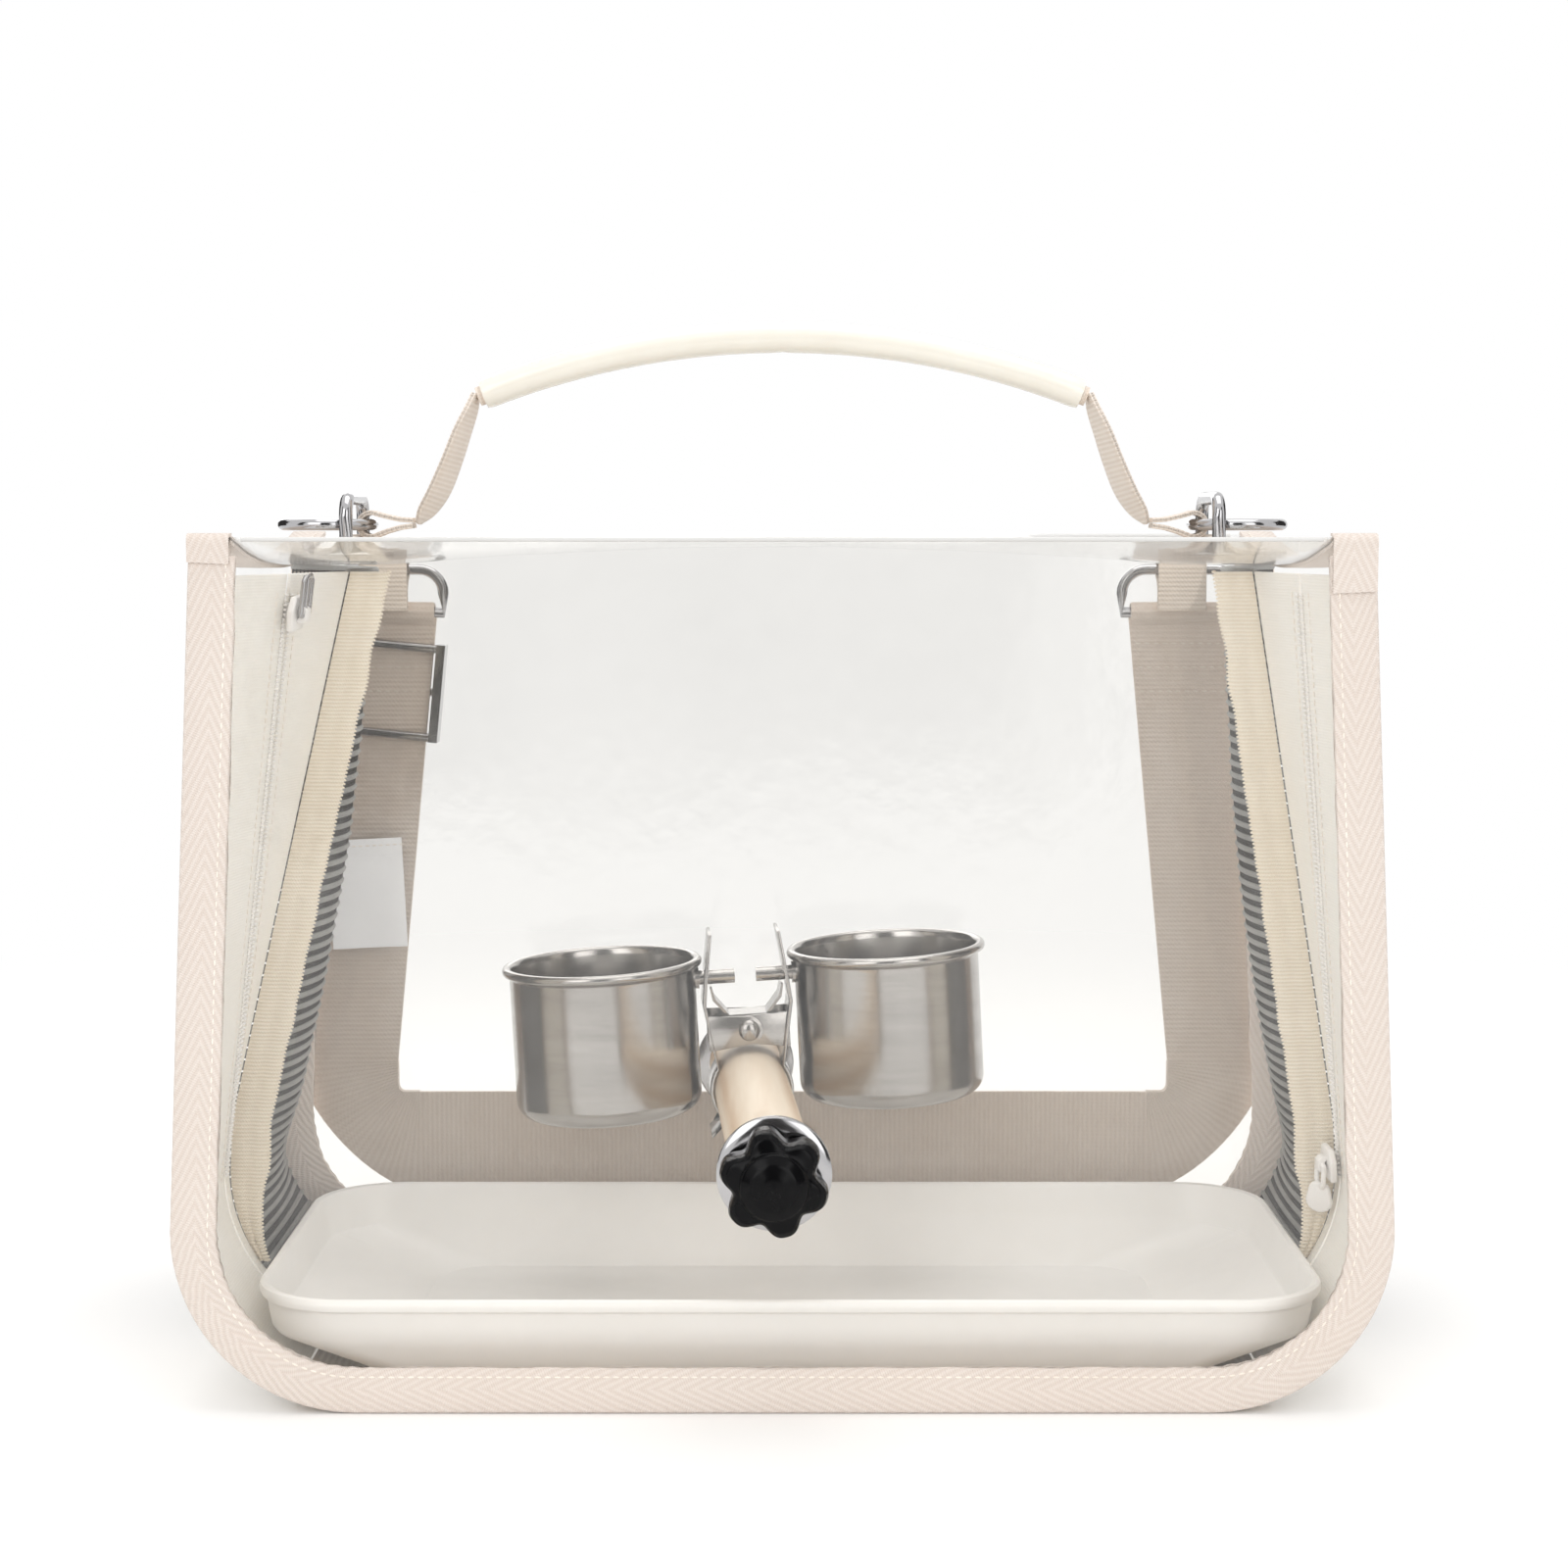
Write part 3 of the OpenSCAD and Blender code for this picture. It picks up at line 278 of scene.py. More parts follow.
def quads(rings: int, size: int, closed: bool, whole: bool = True) -> list[list[int]]:
    """Return the faces between rings of points.

    Args:
        rings: How many rings there are.
        size: Points in a ring.
        closed: Whether the last ring joins the first.
        whole: Whether a ring's last point joins its first.

    Returns:
        The faces' corner numbers.
    """
    faces: list[list[int]] = []
    for i in range(rings if closed else rings - 1):
        a, b = i * size, (i + 1) % rings * size
        for k in range(size if whole else size - 1):
            q = (k + 1) % size
            faces.append([a + k, a + q, b + q, b + k])
    return faces


def grid_normals(rows: Sequence[Row]) -> list[Row]:
    """Return the surface normal at each point of a grid of points."""
    last_i, last_j = len(rows) - 1, len(rows[0]) - 1
    out: list[Row] = []
    for i, row in enumerate(rows):
        line: Row = []
        for j in range(len(row)):
            a = rows[min(i + 1, last_i)][j] - rows[max(i - 1, 0)][j]
            b = row[min(j + 1, last_j)] - row[max(j - 1, 0)]
            n = a.cross(b)
            line.append(n.normalized() if n.length > 1e-9 else vec(0, 0, 1))
        out.append(line)
    return out


def cloth(name: str, rows: Sequence[Row], thick: float, lift: float = 0.0) -> Piece:
    """Make a closed sheet of even thickness on a grid of points.

    Args:
        name: Name of the piece.
        rows: Grid of points in millimetres; the map runs across a row in U and down the rows in V.
        thick: Thickness of the sheet in millimetres.
        lift: Distance that the whole sheet is moved along its own normal.

    Returns:
        The new object.
    """
    normals = grid_normals(rows)
    n, m = len(rows), len(rows[0])
    mid = m // 2
    down = [0.0]
    for i in range(1, n):
        down.append(down[-1] + (rows[i][mid] - rows[i - 1][mid]).length)
    verts: Row = []
    uvs: list[tuple[float, float]] = []
    for s in (-1, 1):
        for i in range(n):
            across = 0.0
            for j in range(m):
                if j:
                    across += (rows[i][j] - rows[i][j - 1]).length
                verts.append(rows[i][j] + normals[i][j] * (lift + s * thick / 2))
                uvs.append((across, down[i]))
    total = n * m
    faces: list[list[int]] = []
    for i in range(n - 1):
        for j in range(m - 1):
            a = i * m + j
            faces.append([a, a + 1, a + m + 1, a + m])
            faces.append([total + a, total + a + m, total + a + m + 1, total + a + 1])
    for j in range(m - 1):
        faces.append([j, total + j, total + j + 1, j + 1])
        a = (n - 1) * m + j
        faces.append([a, a + 1, total + a + 1, total + a])
    for i in range(n - 1):
        a = i * m
        faces.append([a, a + m, total + a + m, total + a])
        a = i * m + m - 1
        faces.append([a, total + a, total + a + m, a + m])
    return sharpened(outward(make_mesh(name, verts, faces, uvs)), 50)


def sweep(
    name: str,
    path: Sequence[Vector],
    ring: Callable[[int, float], Sequence[Vector]],
    closed: bool = False,
) -> Piece:
    """Make a solid through one ring of points per point of a path.

    Args:
        name: Name of the piece.
        path: Points of the path, which give the map its V.
        ring: Gives the ring's points from the path point's number and its distance along the path.
        closed: Whether the path's end joins its start.

    Returns:
        The new object.
    """
    verts: Row = []
    uvs: list[tuple[float, float]] = []
    along = 0.0
    size = 0
    for i, p in enumerate(path):
        if i:
            along += (p - path[i - 1]).length
        points = list(ring(i, along))
        size = len(points)
        round_it = 0.0
        for k, q in enumerate(points):
            if k:
                round_it += (q - points[k - 1]).length
            verts.append(q)
            uvs.append((round_it, along))
    faces = quads(len(path), size, closed)
    if not closed:
        faces += [list(range(size - 1, -1, -1)), list(range(len(verts) - size, len(verts)))]
    return sharpened(outward(make_mesh(name, verts, faces, uvs)), 50)


def band_ring(centre: Vector, wide: Vector, thin: Vector, width: float, thick: float) -> Row:
    """Return the section of a woven band, with soft edges.

    Args:
        centre: Middle of the section.
        wide: Unit vector across the band.
        thin: Unit vector through the band.
        width: Width in millimetres.
        thick: Thickness in millimetres.

    Returns:
        The section's points in order.
    """
    w, t = width / 2, thick / 2
    shape = [
        (-1, -0.45), (-0.97, -0.9), (-0.5, -1), (0, -1.04), (0.5, -1), (0.97, -0.9),
        (1, -0.45), (1, 0.45), (0.97, 0.9), (0.5, 1), (0, 1.04), (-0.5, 1), (-0.97, 0.9), (-1, 0.45),
    ]
    return [centre + wide * (a * w) + thin * (b * t) for a, b in shape]


def band(
    name: str,
    path: Sequence[Vector],
    wide: Callable[[int], Vector],
    width: Callable[[int], float],
    thick: float,
) -> Piece:
    """Make a woven band along a path.

    Args:
        name: Name of the piece.
        path: Middle line of the band in millimetres.
        wide: Gives the unit vector across the band at a path point.
        width: Gives the band's width at a path point.
        thick: Thickness in millimetres.

    Returns:
        The new object.
    """
    last = len(path) - 1

    def ring(i: int, _along: float) -> Row:
        """Return the section's points at a path point."""
        run = (path[min(i + 1, last)] - path[max(i - 1, 0)]).normalized()
        w = wide(i).normalized()
        w = (w - run * w.dot(run)).normalized()
        return band_ring(path[i], w, run.cross(w).normalized(), width(i), thick)

    return sweep(name, path, ring)


def lathe(
    name: str,
    profile: Sequence[tuple[float, float]],
    centre: Vector,
    axis: Vector,
    segments: int = 96,
) -> Piece:
    """Turn a closed profile round an axis.

    Args:
        name: Name of the piece.
        profile: Pairs of radius and height in millimetres; a closed loop, or a line from axis to axis.
        centre: Point of the axis at height 0.
        axis: Direction of the axis.
        segments: Steps round the axis.

    Returns:
        The new object.
    """
    up = axis.normalized()
    a = up.orthogonal().normalized()
    b = up.cross(a)
    verts: Row = []
    for k in range(segments):
        t = 2 * pi * k / segments
        out = a * cos(t) + b * sin(t)
        verts += [centre + out * r + up * h for r, h in profile]
    open_line = profile[0][0] < 1e-6 and profile[-1][0] < 1e-6
    faces = quads(segments, len(profile), True, not open_line)
    return sharpened(outward(make_mesh(name, verts, faces)), 38)


def prism(
    name: str, outline: Sequence[tuple[float, float]], origin: Vector, u: Vector, v: Vector, depth: Vector
) -> Piece:
    """Push a flat outline along a direction.

    Args:
        name: Name of the piece.
        outline: Points along u and v in millimetres.
        origin: Where the outline's zero lies.
        u: First direction of the outline.
        v: Second direction of the outline.
        depth: How far, and in which direction, the outline is pushed.

    Returns:
        The new object.
    """
    low = [origin + u * a + v * b for a, b in outline]
    n = len(low)
    faces: list[list[int]] = [list(range(n)), [2 * n - 1 - k for k in range(n)]]
    faces += [[k, (k + 1) % n, n + (k + 1) % n, n + k] for k in range(n)]
    return outward(make_mesh(name, low + [p + depth for p in low], faces))


def tube(name: str, path: Sequence[Vector], radius: float, sides: int = 16, closed: bool = False) -> Piece:
    """Make a round bar along a path.

    Args:
        name: Name of the piece.
        path: Middle line in millimetres.
        radius: Radius in millimetres.
        sides: Faces round the bar.
        closed: Whether the bar's end joins its start.

    Returns:
        The new object.
    """
    count = len(path)
    frames: list[tuple[Vector, Vector]] = []
    a: Vector | None = None
    for i in range(count):
        if closed:
            run = (path[(i + 1) % count] - path[i - 1]).normalized()
        else:
            run = (path[min(i + 1, count - 1)] - path[max(i - 1, 0)]).normalized()
        a = run.orthogonal().normalized() if a is None else (a - run * a.dot(run)).normalized()
        frames.append((a, run.cross(a)))

    def ring(i: int, _along: float) -> Row:
        """Return the section's points at a path point."""
        x, y = frames[i]
        turn = 2 * pi / sides
        return [path[i] + (x * cos(k * turn) + y * sin(k * turn)) * radius for k in range(sides)]

    return sweep(name, path, ring, closed)


# ---------------------------------------------------------------- node trees


class Graph:
    """A node tree that is built by saying what each input gets."""

    def __init__(self, tree: NodeTree) -> None:
        """Work on a tree."""
        self.tree = tree

    @classmethod
    def group(cls, name: str, kind: str, inputs: dict[str, object], **outputs: str) -> "Graph":
        """Start a node group.

        Args:
            name: Name of the group.
            kind: Type of the tree; one for geometry also gets a geometry input and output.
            inputs: Each input's default, which also gives its type; None makes a material input.
            outputs: Each output's socket type.

        Returns:
            The new graph, whose ``source`` holds the group's inputs.
        """
        g = cls(bpy.data.node_groups.new(name, kind))
        face = g.tree.interface
        if kind == "GeometryNodeTree":
            for way in ("INPUT", "OUTPUT"):
                face.new_socket("Geometry", in_out=way, socket_type="NodeSocketGeometry")
        for key, value in inputs.items():
            sort = {float: "Float", int: "Int", type(None): "Material"}.get(type(value))
            if sort is None:
                sort = "Color" if len(value) == 4 else "Vector"
            socket = face.new_socket(key, in_out="INPUT", socket_type=f"NodeSocket{sort}")
            if value is not None:
                socket.default_value = value
        for key, sort in outputs.items():
            face.new_socket(key, in_out="OUTPUT", socket_type=sort)
        g.source = g.tree.nodes.new("NodeGroupInput").outputs
        return g

    def node(self, kind: str, values: dict[str | int, object] | None = None, **settings: object) -> bpy.types.Node:
        """Add a node.

        Args:
            kind: The node's type.
            values: What each input gets, by name or number.
            settings: The node's properties.

        Returns:
            The new node.
        """
        made = self.tree.nodes.new(kind)
        for key, value in settings.items():
            setattr(made, key, value)
        self.feed(made, values or {})
        return made

    def feed(self, node: bpy.types.Node, values: dict[str | int, object]) -> None:
        """Link or set a node's inputs.

        Args:
            node: The node.
            values: A socket to link, a node whose first output is linked, or a constant, by input.
        """
        for key, value in values.items():
            if isinstance(value, bpy.types.Node):
                value = value.outputs[0]
            if isinstance(value, Socket):
                self.tree.links.new(value, node.inputs[key])
            else:
                node.inputs[key].default_value = value

    def math(self, kind: str, *values: object) -> Socket:
        """Add a Math node on sockets or numbers and return its output."""
        return self.node("ShaderNodeMath", dict(enumerate(values)), operation=kind).outputs[0]

    def noise(self, vector: object, scale: float, detail: float = 3.0) -> Socket:
        """Add a noise texture and return its value."""
        return self.node("ShaderNodeTexNoise", {"Scale": scale, "Detail": detail, "Vector": vector}).outputs[0]

    def end(self, **values: object) -> NodeTree:
        """Feed the group's outputs and return its tree."""
        self.node("NodeGroupOutput", dict(values))
        return self.tree

    def painted(self, geometry: bpy.types.Node) -> NodeTree:
        """Close a geometry group with Realize Instances and Set Material, and return its tree."""
        real = self.node("GeometryNodeRealizeInstances", {"Geometry": geometry})
        paint = {"Geometry": real, "Material": self.source["Material"]}
        return self.end(Geometry=self.node("GeometryNodeSetMaterial", paint))


def new_material(name: str) -> tuple[Material, Graph, bpy.types.Node]:
    """Return a new material, its graph and its Principled node."""
    mat = bpy.data.materials.new(name)
    mat.use_nodes = True
    return mat, Graph(mat.node_tree), mat.node_tree.nodes["Principled BSDF"]


def wire(name: str, lines: Iterable[Sequence[Vector]]) -> Piece:
    """Make an object that holds only lines, for a tree to follow.

    Args:
        name: Name of the object.
        lines: Each line's points in millimetres.

    Returns:
        The new object.
    """
    verts: Row = []
    edges: list[tuple[int, int]] = []
    for line in lines:
        start = len(verts)
        verts += list(line)
        edges += [(start + k, start + k + 1) for k in range(len(line) - 1)]
    mesh = bpy.data.meshes.new(name)
    mesh.from_pydata([v * MM for v in verts], edges, [])
    obj = bpy.data.objects.new(name, mesh)
    bpy.context.scene.collection.objects.link(obj)
    return obj


@cache
def beads_tree() -> NodeTree:
    """Return the tree that lays small rounded beads along lines, such as stitches and zip coils."""
    sizes = {"Pitch": 0.003, "Size": (0.001, 0.0003, 0.0003), "Up": (0.0, 0.0, 1.0), "Material": None}
    g = Graph.group("beads_along_lines", "GeometryNodeTree", sizes)
    curve = g.node("GeometryNodeMeshToCurve", {"Mesh": g.source["Geometry"]})
    even = g.node("GeometryNodeResampleCurve", {"Curve": curve, "Length": g.source["Pitch"]}, mode="LENGTH")
    points = g.node("GeometryNodeCurveToPoints", {"Curve": even}, mode="EVALUATED")
    turn = "FunctionNodeAlignRotationToVector"
    along = g.node(turn, {"Vector": points.outputs["Tangent"]}, axis="X")
    up = g.node(turn, {"Rotation": along, "Vector": g.source["Up"]}, axis="Z", pivot_axis="X")
    bead = g.node("GeometryNodeMeshUVSphere", {"Segments": 8, "Rings": 5, "Radius": 0.5})
    laid = {"Points": points, "Instance": bead, "Rotation": up, "Scale": g.source["Size"]}
    lay = g.node("GeometryNodeInstanceOnPoints", laid)
    return g.painted(g.node("GeometryNodeSetShadeSmooth", {"Geometry": lay}))


@cache
def threads_tree() -> NodeTree:
    """Return the tree that turns lines into threads of one radius."""
    g = Graph.group("threads_along_lines", "GeometryNodeTree", {"Radius": 0.0002, "Sides": 5, "Material": None})
    curve = g.node("GeometryNodeMeshToCurve", {"Mesh": g.source["Geometry"]})
    size = {"Resolution": g.source["Sides"], "Radius": g.source["Radius"]}
    ring = g.node("GeometryNodeCurvePrimitiveCircle", size)
    skin = g.node("GeometryNodeCurveToMesh", {"Curve": curve, "Profile Curve": ring, "Fill Caps": True})
    return g.painted(g.node("GeometryNodeSetShadeSmooth", {"Geometry": skin}))


def grown(obj: Piece, tree: NodeTree, values: dict[str, object]) -> Piece:
    """Run a tree on an object and keep the result as its plain mesh.

    Args:
        obj: The object that holds the lines.
        tree: The tree.
        values: The tree's inputs by name, which are set by their sockets' identifiers.

    Returns:
        The same object, now a plain mesh.
    """
    mod = obj.modifiers.new(tree.name, "NODES")
    mod.node_group = tree
    ids = {s.name: s.identifier for s in tree.interface.items_tree if s.item_type == "SOCKET" and s.in_out == "INPUT"}
    for name, value in values.items():
        mod[ids[name]] = value
    return baked(obj)


def beads(
    name: str,
    lines: Iterable[Sequence[Vector]],
    pitch: float,
    size: tuple[float, float, float],
    up: Vector,
    material: Material,
) -> Piece:
    """Lay beads along lines.

    Args:
        name: Name of the piece.
        lines: Lines in millimetres.
        pitch: Distance between beads in millimetres.
        size: Length, width and height of a bead in millimetres.
        up: Direction that a bead's height points to.
        material: The beads' material.

    Returns:
        The new piece.
    """
    values = {"Pitch": pitch * MM, "Size": tuple(v * MM for v in size), "Up": tuple(up), "Material": material}
    return grown(wire(name, lines), beads_tree(), values)


def threads(
    name: str, lines: Iterable[Sequence[Vector]], radius: float, sides: int, material: Material
) -> Piece:
    """Make threads along lines.

    Args:
        name: Name of the piece.
        lines: Lines in millimetres.
        radius: Radius of a thread in millimetres.
        sides: Faces round a thread.
        material: The threads' material.

    Returns:
        The new piece.
    """
    return grown(wire(name, lines), threads_tree(), {"Radius": radius * MM, "Sides": sides, "Material": material})


# ---------------------------------------------------------------- shader groups


@cache
def twill_group() -> NodeTree:
    """Return the herringbone weave's height on a map in metres: columns of slanting ribs that turn at each column."""
    sizes = {"Vector": (0.0, 0.0, 0.0), "Pitch": 0.0038, "Column": 0.0058, "Slant": 2.1}
    g = Graph.group("twill", "ShaderNodeTree", sizes, Height="NodeSocketFloat")
    cut = g.node("ShaderNodeSeparateXYZ", {0: g.source["Vector"]}).outputs
    turn = g.math("PINGPONG", cut[0], g.source["Column"])
    lean = g.math("MULTIPLY", turn, g.source["Slant"])
    phase = g.math("DIVIDE", g.math("ADD", cut[1], lean), g.source["Pitch"])
    wave = g.math("SINE", g.math("MULTIPLY", phase, 2 * pi))
    yarn = g.math("MULTIPLY", g.math("SUBTRACT", cut[1], g.math("MULTIPLY", turn, 0.4)), 2 * pi / 0.00062)
    fine = g.math("MULTIPLY", g.math("SINE", yarn), 0.2)
    return g.end(Height=g.math("ADD", g.math("ADD", g.math("MULTIPLY", wave, 0.32), fine), 0.5))


@cache
def rib_group() -> NodeTree:
    """Return the ribbed weave's height on a map in metres: ribs across the band, crossed by fine warp threads."""
    sizes = {"Vector": (0.0, 0.0, 0.0), "Pitch": 0.0009, "Warp": 0.0006}
    g = Graph.group("ribs", "ShaderNodeTree", sizes, Height="NodeSocketFloat")
    cut = g.node("ShaderNodeSeparateXYZ", {0: g.source["Vector"]}).outputs
    rib, warp = (
        g.math("SINE", g.math("MULTIPLY", g.math("DIVIDE", way, g.source[size]), 2 * pi))
        for way, size in ((cut[1], "Pitch"), (cut[0], "Warp"))
    )
    cross = g.math("MULTIPLY", g.math("MULTIPLY", rib, warp), 0.2)
    return g.end(Height=g.math("ADD", g.math("ADD", g.math("MULTIPLY", rib, 0.35), cross), 0.5))


@cache
def wear_group() -> NodeTree:
    """Return the soft unevenness of a used surface: a colour, a mask and a fine height on object coordinates."""
    looks = {
        "Vector": (0.0, 0.0, 0.0), "Colour": (0.8, 0.8, 0.8, 1.0), "Shade": (0.6, 0.6, 0.6, 1.0), "Amount": 0.3,
    }
    kinds = {"Colour": "NodeSocketColor", "Mask": "NodeSocketFloat", "Height": "NodeSocketFloat"}
    g = Graph.group("wear", "ShaderNodeTree", looks, **kinds)
    broad = g.noise(g.source["Vector"], 18.0, 4.0)
    fine = g.noise(g.source["Vector"], 160.0, 3.0)
    both = g.math("ADD", g.math("MULTIPLY", broad, 0.7), g.math("MULTIPLY", fine, 0.3))
    held = g.node("ShaderNodeClamp", {"Value": g.math("MULTIPLY", g.math("SUBTRACT", both, 0.35), 3.3)})
    part = g.math("MULTIPLY", held.outputs[0], g.source["Amount"])
    mix = g.node("ShaderNodeMix", {0: part, 6: g.source["Colour"], 7: g.source["Shade"]}, data_type="RGBA")
    return g.end(Colour=mix.outputs[2], Mask=held, Height=fine)


@cache
def grain_group() -> NodeTree:
    """Return wood grain along Y as a colour and a height: growth lines, pores and a slow drift of colour."""
    looks = {"Vector": (0.0, 0.0, 0.0), "Light": (0.8, 0.6, 0.4, 1.0), "Dark": (0.6, 0.4, 0.25, 1.0)}
    g = Graph.group("wood_grain", "ShaderNodeTree", looks, Colour="NodeSocketColor", Height="NodeSocketFloat")
    place = g.node("ShaderNodeMapping", {"Scale": (90.0, 7.0, 90.0), "Vector": g.source["Vector"]})
    broad = g.noise(place, 1.6, 5.0)
    drift = {"Scale": 0.55, "Distortion": 3.2, "Detail": 3.0, "Detail Scale": 1.2, "Vector": place}
    lines = g.node("ShaderNodeTexWave", drift, wave_type="RINGS", rings_direction="Y", wave_profile="SIN")
    pores = g.node("ShaderNodeMapping", {"Scale": (900.0, 50.0, 900.0), "Vector": g.source["Vector"]})
    fine = g.noise(pores, 1.0, 2.0)
    amount = g.math("ADD", g.math("MULTIPLY", broad, 0.55), g.math("MULTIPLY", lines.outputs["Fac"], 0.35))
    amount = g.math("ADD", amount, g.math("MULTIPLY", fine, 0.18))
    held = g.node("ShaderNodeMapRange", {"From Min": 0.3, "From Max": 0.8, "Value": amount})
    mix = g.node("ShaderNodeMix", {0: held, 6: g.source["Light"], 7: g.source["Dark"]}, data_type="RGBA")
    return g.end(Colour=mix.outputs[2], Height=fine)


# ---------------------------------------------------------------- finishes


class Weave(Enum):
    """How a surface is woven."""

    NONE = 0
    TWILL = 1
    RIBS = 2
    PLAIN = 3


@dataclass(frozen=True)
class Finish:
    """One finish: colours as linear values, distances in metres."""

    slot: str
    colour: tuple[float, float, float]
    # shade: the darker colour that random wear patches and the painted shade in the weave's hollows both mix toward.
    shade: tuple[float, float, float]
    roughness: float
    metallic: float = 0.0
    wear: float = 0.35
    weave: Weave = Weave.NONE
    pitch: float = 0.0009
    column: float = 0.0015
    bump: float = 0.00005
    # How far the weave's hollows are painted toward the shade colour: painted shade.
    weave_shade: float = 0.0
    coat: float = 0.0
    sheen: float = 0.0
    subsurface: float = 0.0
    specular: float = 0.5
    stretch: tuple[float, float, float] = (1.0, 1.0, 1.0)

    def build(self) -> Material:
        """Build the finish as a node material and return it."""
        mat, g, bsdf = new_material(self.slot)
        coords = g.node("ShaderNodeTexCoord").outputs
        place = g.node("ShaderNodeMapping", {"Scale": self.stretch, "Vector": coords["Object"]})
        colours = {"Colour": (*self.colour, 1), "Shade": (*self.shade, 1), "Amount": self.wear, "Vector": place}
        wear = g.node("ShaderNodeGroup", colours, node_tree=wear_group()).outputs
        colour, height = wear["Colour"], wear["Height"]
        if self.weave is not Weave.NONE:
            colour, height = self._woven(g, coords["UV"], colour)
        reach = {"To Min": self.roughness * 0.82, "To Max": min(1.0, self.roughness * 1.25), "Value": wear["Mask"]}
        g.feed(bsdf, {
            "Base Color": colour,
            "Roughness": g.node("ShaderNodeMapRange", reach),
            "Normal": g.node("ShaderNodeBump", {"Strength": 1.0, "Distance": self.bump, "Height": height}),
            "Metallic": self.metallic,
            "Coat Weight": self.coat,
            "Coat Roughness": 0.08,
            "Specular IOR Level": self.specular,
            "Sheen Weight": self.sheen,
            "Subsurface Weight": self.subsurface,
            "Subsurface Scale": 0.002,
            "Subsurface Radius": (1.0, 0.9, 0.8),
        })
        return mat

    def _woven(
        self, g: Graph, flat: Socket, colour: Socket
    ) -> tuple[Socket, Socket]:
        """Add the weave's height and painted shade in the hollows between its ribs.

        Args:
            g: The material's graph.
            flat: The surface map.
            colour: The colour before the weave.

        Returns:
            The colour with painted shade in the weave's hollows, and the height.
        """
        twill = self.weave is Weave.TWILL
        sizes = {"Vector": flat, "Pitch": self.pitch, "Column" if twill else "Warp": self.column}
        made = g.node("ShaderNodeGroup", sizes, node_tree=twill_group() if twill else rib_group())
        height = made.outputs["Height"]
        # Painted shade: the low parts of the weave's height are mixed toward the shade colour.
        groove_painted_shade = g.node("ShaderNodeMapRange", {"To Min": self.weave_shade, "To Max": 0.0, "Value": height})
        mix = g.node("ShaderNodeMix", {0: groove_painted_shade, 6: colour, 7: (*self.shade, 1)}, data_type="RGBA")
        return mix.outputs[2], height


def srgb(r: int, g: int, b: int) -> tuple[float, float, float]:
    """Return the linear colour of three screen values."""

    def one(v: float) -> float:
        """Return one part of the colour."""
        v /= 255
        return v / 12.92 if v <= 0.04045 else ((v + 0.055) / 1.055) ** 2.4

    return one(r), one(g), one(b)


FINISHES = (
    Finish("cream_tape", srgb(228, 218, 210), srgb(204, 187, 174), 0.78, weave=Weave.TWILL,
           pitch=0.0038, column=0.0058, bump=0.0002, weave_shade=0.55, sheen=0.2, wear=0.12),
    # The back binding's tape: the same tape as cream_tape in a paler colour, painted light that stands in for the light
    # the back binding lacks behind the front sheet.
    Finish("pale_tape", srgb(240, 230, 222), srgb(222, 205, 192), 0.78, weave=Weave.TWILL,
           pitch=0.0038, column=0.0058, bump=0.0002, weave_shade=0.5, sheen=0.2, wear=0.12),
    Finish("ribbon_loops", srgb(252, 245, 233), srgb(224, 207, 178), 0.82, weave=Weave.RIBS,
           pitch=0.00103, column=0.0007, bump=0.0003, weave_shade=0.6, sheen=0.2, wear=0.25),
    Finish("cream_fabric", srgb(236, 224, 208), srgb(176, 152, 128), 0.85, weave=Weave.RIBS,
           pitch=0.0016, column=0.0009, bump=0.0002, weave_shade=0.45, sheen=0.2, wear=0.2),
    Finish("side_fabric", srgb(246, 243, 237), srgb(224, 216, 204), 0.82, weave=Weave.PLAIN,
           pitch=0.00075, column=0.0007, bump=0.00006, weave_shade=0.3, sheen=0.3, wear=0.25, subsurface=0.35),
    Finish("net", srgb(158, 157, 154), srgb(116, 114, 110), 0.7, bump=0.00003, sheen=0.2, wear=0.5),
    Finish("net_thread", srgb(84, 82, 80), srgb(58, 56, 54), 0.75, bump=0.00003, wear=0.5),
    Finish("zip_plastic", srgb(246, 244, 242), srgb(216, 210, 204), 0.36, bump=0.00001, wear=0.25, coat=0.1),
    Finish("plated_metal", srgb(192, 191, 192), srgb(140, 139, 142), 0.12, metallic=1.0, bump=0.000004, wear=0.3),
    Finish("webbing", srgb(240, 230, 220), srgb(204, 184, 164), 0.82, weave=Weave.RIBS,
           pitch=0.0013, column=0.0011, bump=0.0002, weave_shade=0.5, sheen=0.2, wear=0.2),
    Finish("clear_tube", srgb(238, 234, 224), srgb(216, 208, 194), 0.2, bump=0.00001, coat=0.5,
           wear=0.3, subsurface=0.3),
    Finish("black_plastic", srgb(8, 8, 9), srgb(18, 18, 20), 0.15, bump=0.000006, specular=0.12, wear=0.4),
    Finish("stainless", srgb(188, 185, 182), srgb(142, 139, 136), 0.2, metallic=1.0, bump=0.000006,
           stretch=(0.6, 0.6, 9.0), wear=0.35),
    Finish("tray_plastic", srgb(243, 241, 238), srgb(224, 222, 218), 0.38, bump=0.00002, wear=0.3, subsurface=0.1),
    Finish("label_cloth", srgb(252, 252, 253), srgb(238, 238, 240), 0.6, weave=Weave.PLAIN,
           pitch=0.0005, column=0.0004, bump=0.00002, weave_shade=0.15, wear=0.15),
    Finish("strap_webbing", srgb(238, 225, 214), srgb(214, 194, 178), 0.82, weave=Weave.RIBS,
           pitch=0.0014, column=0.0012, bump=0.0002, weave_shade=0.4, sheen=0.2, wear=0.25),
    Finish("sheet_edge", srgb(214, 213, 211), srgb(196, 195, 192), 0.3, bump=0.00001, wear=0.3),
    Finish("stitch_thread", srgb(246, 238, 228), srgb(206, 186, 166), 0.6, bump=0.00002, sheen=0.2, wear=0.3),
)


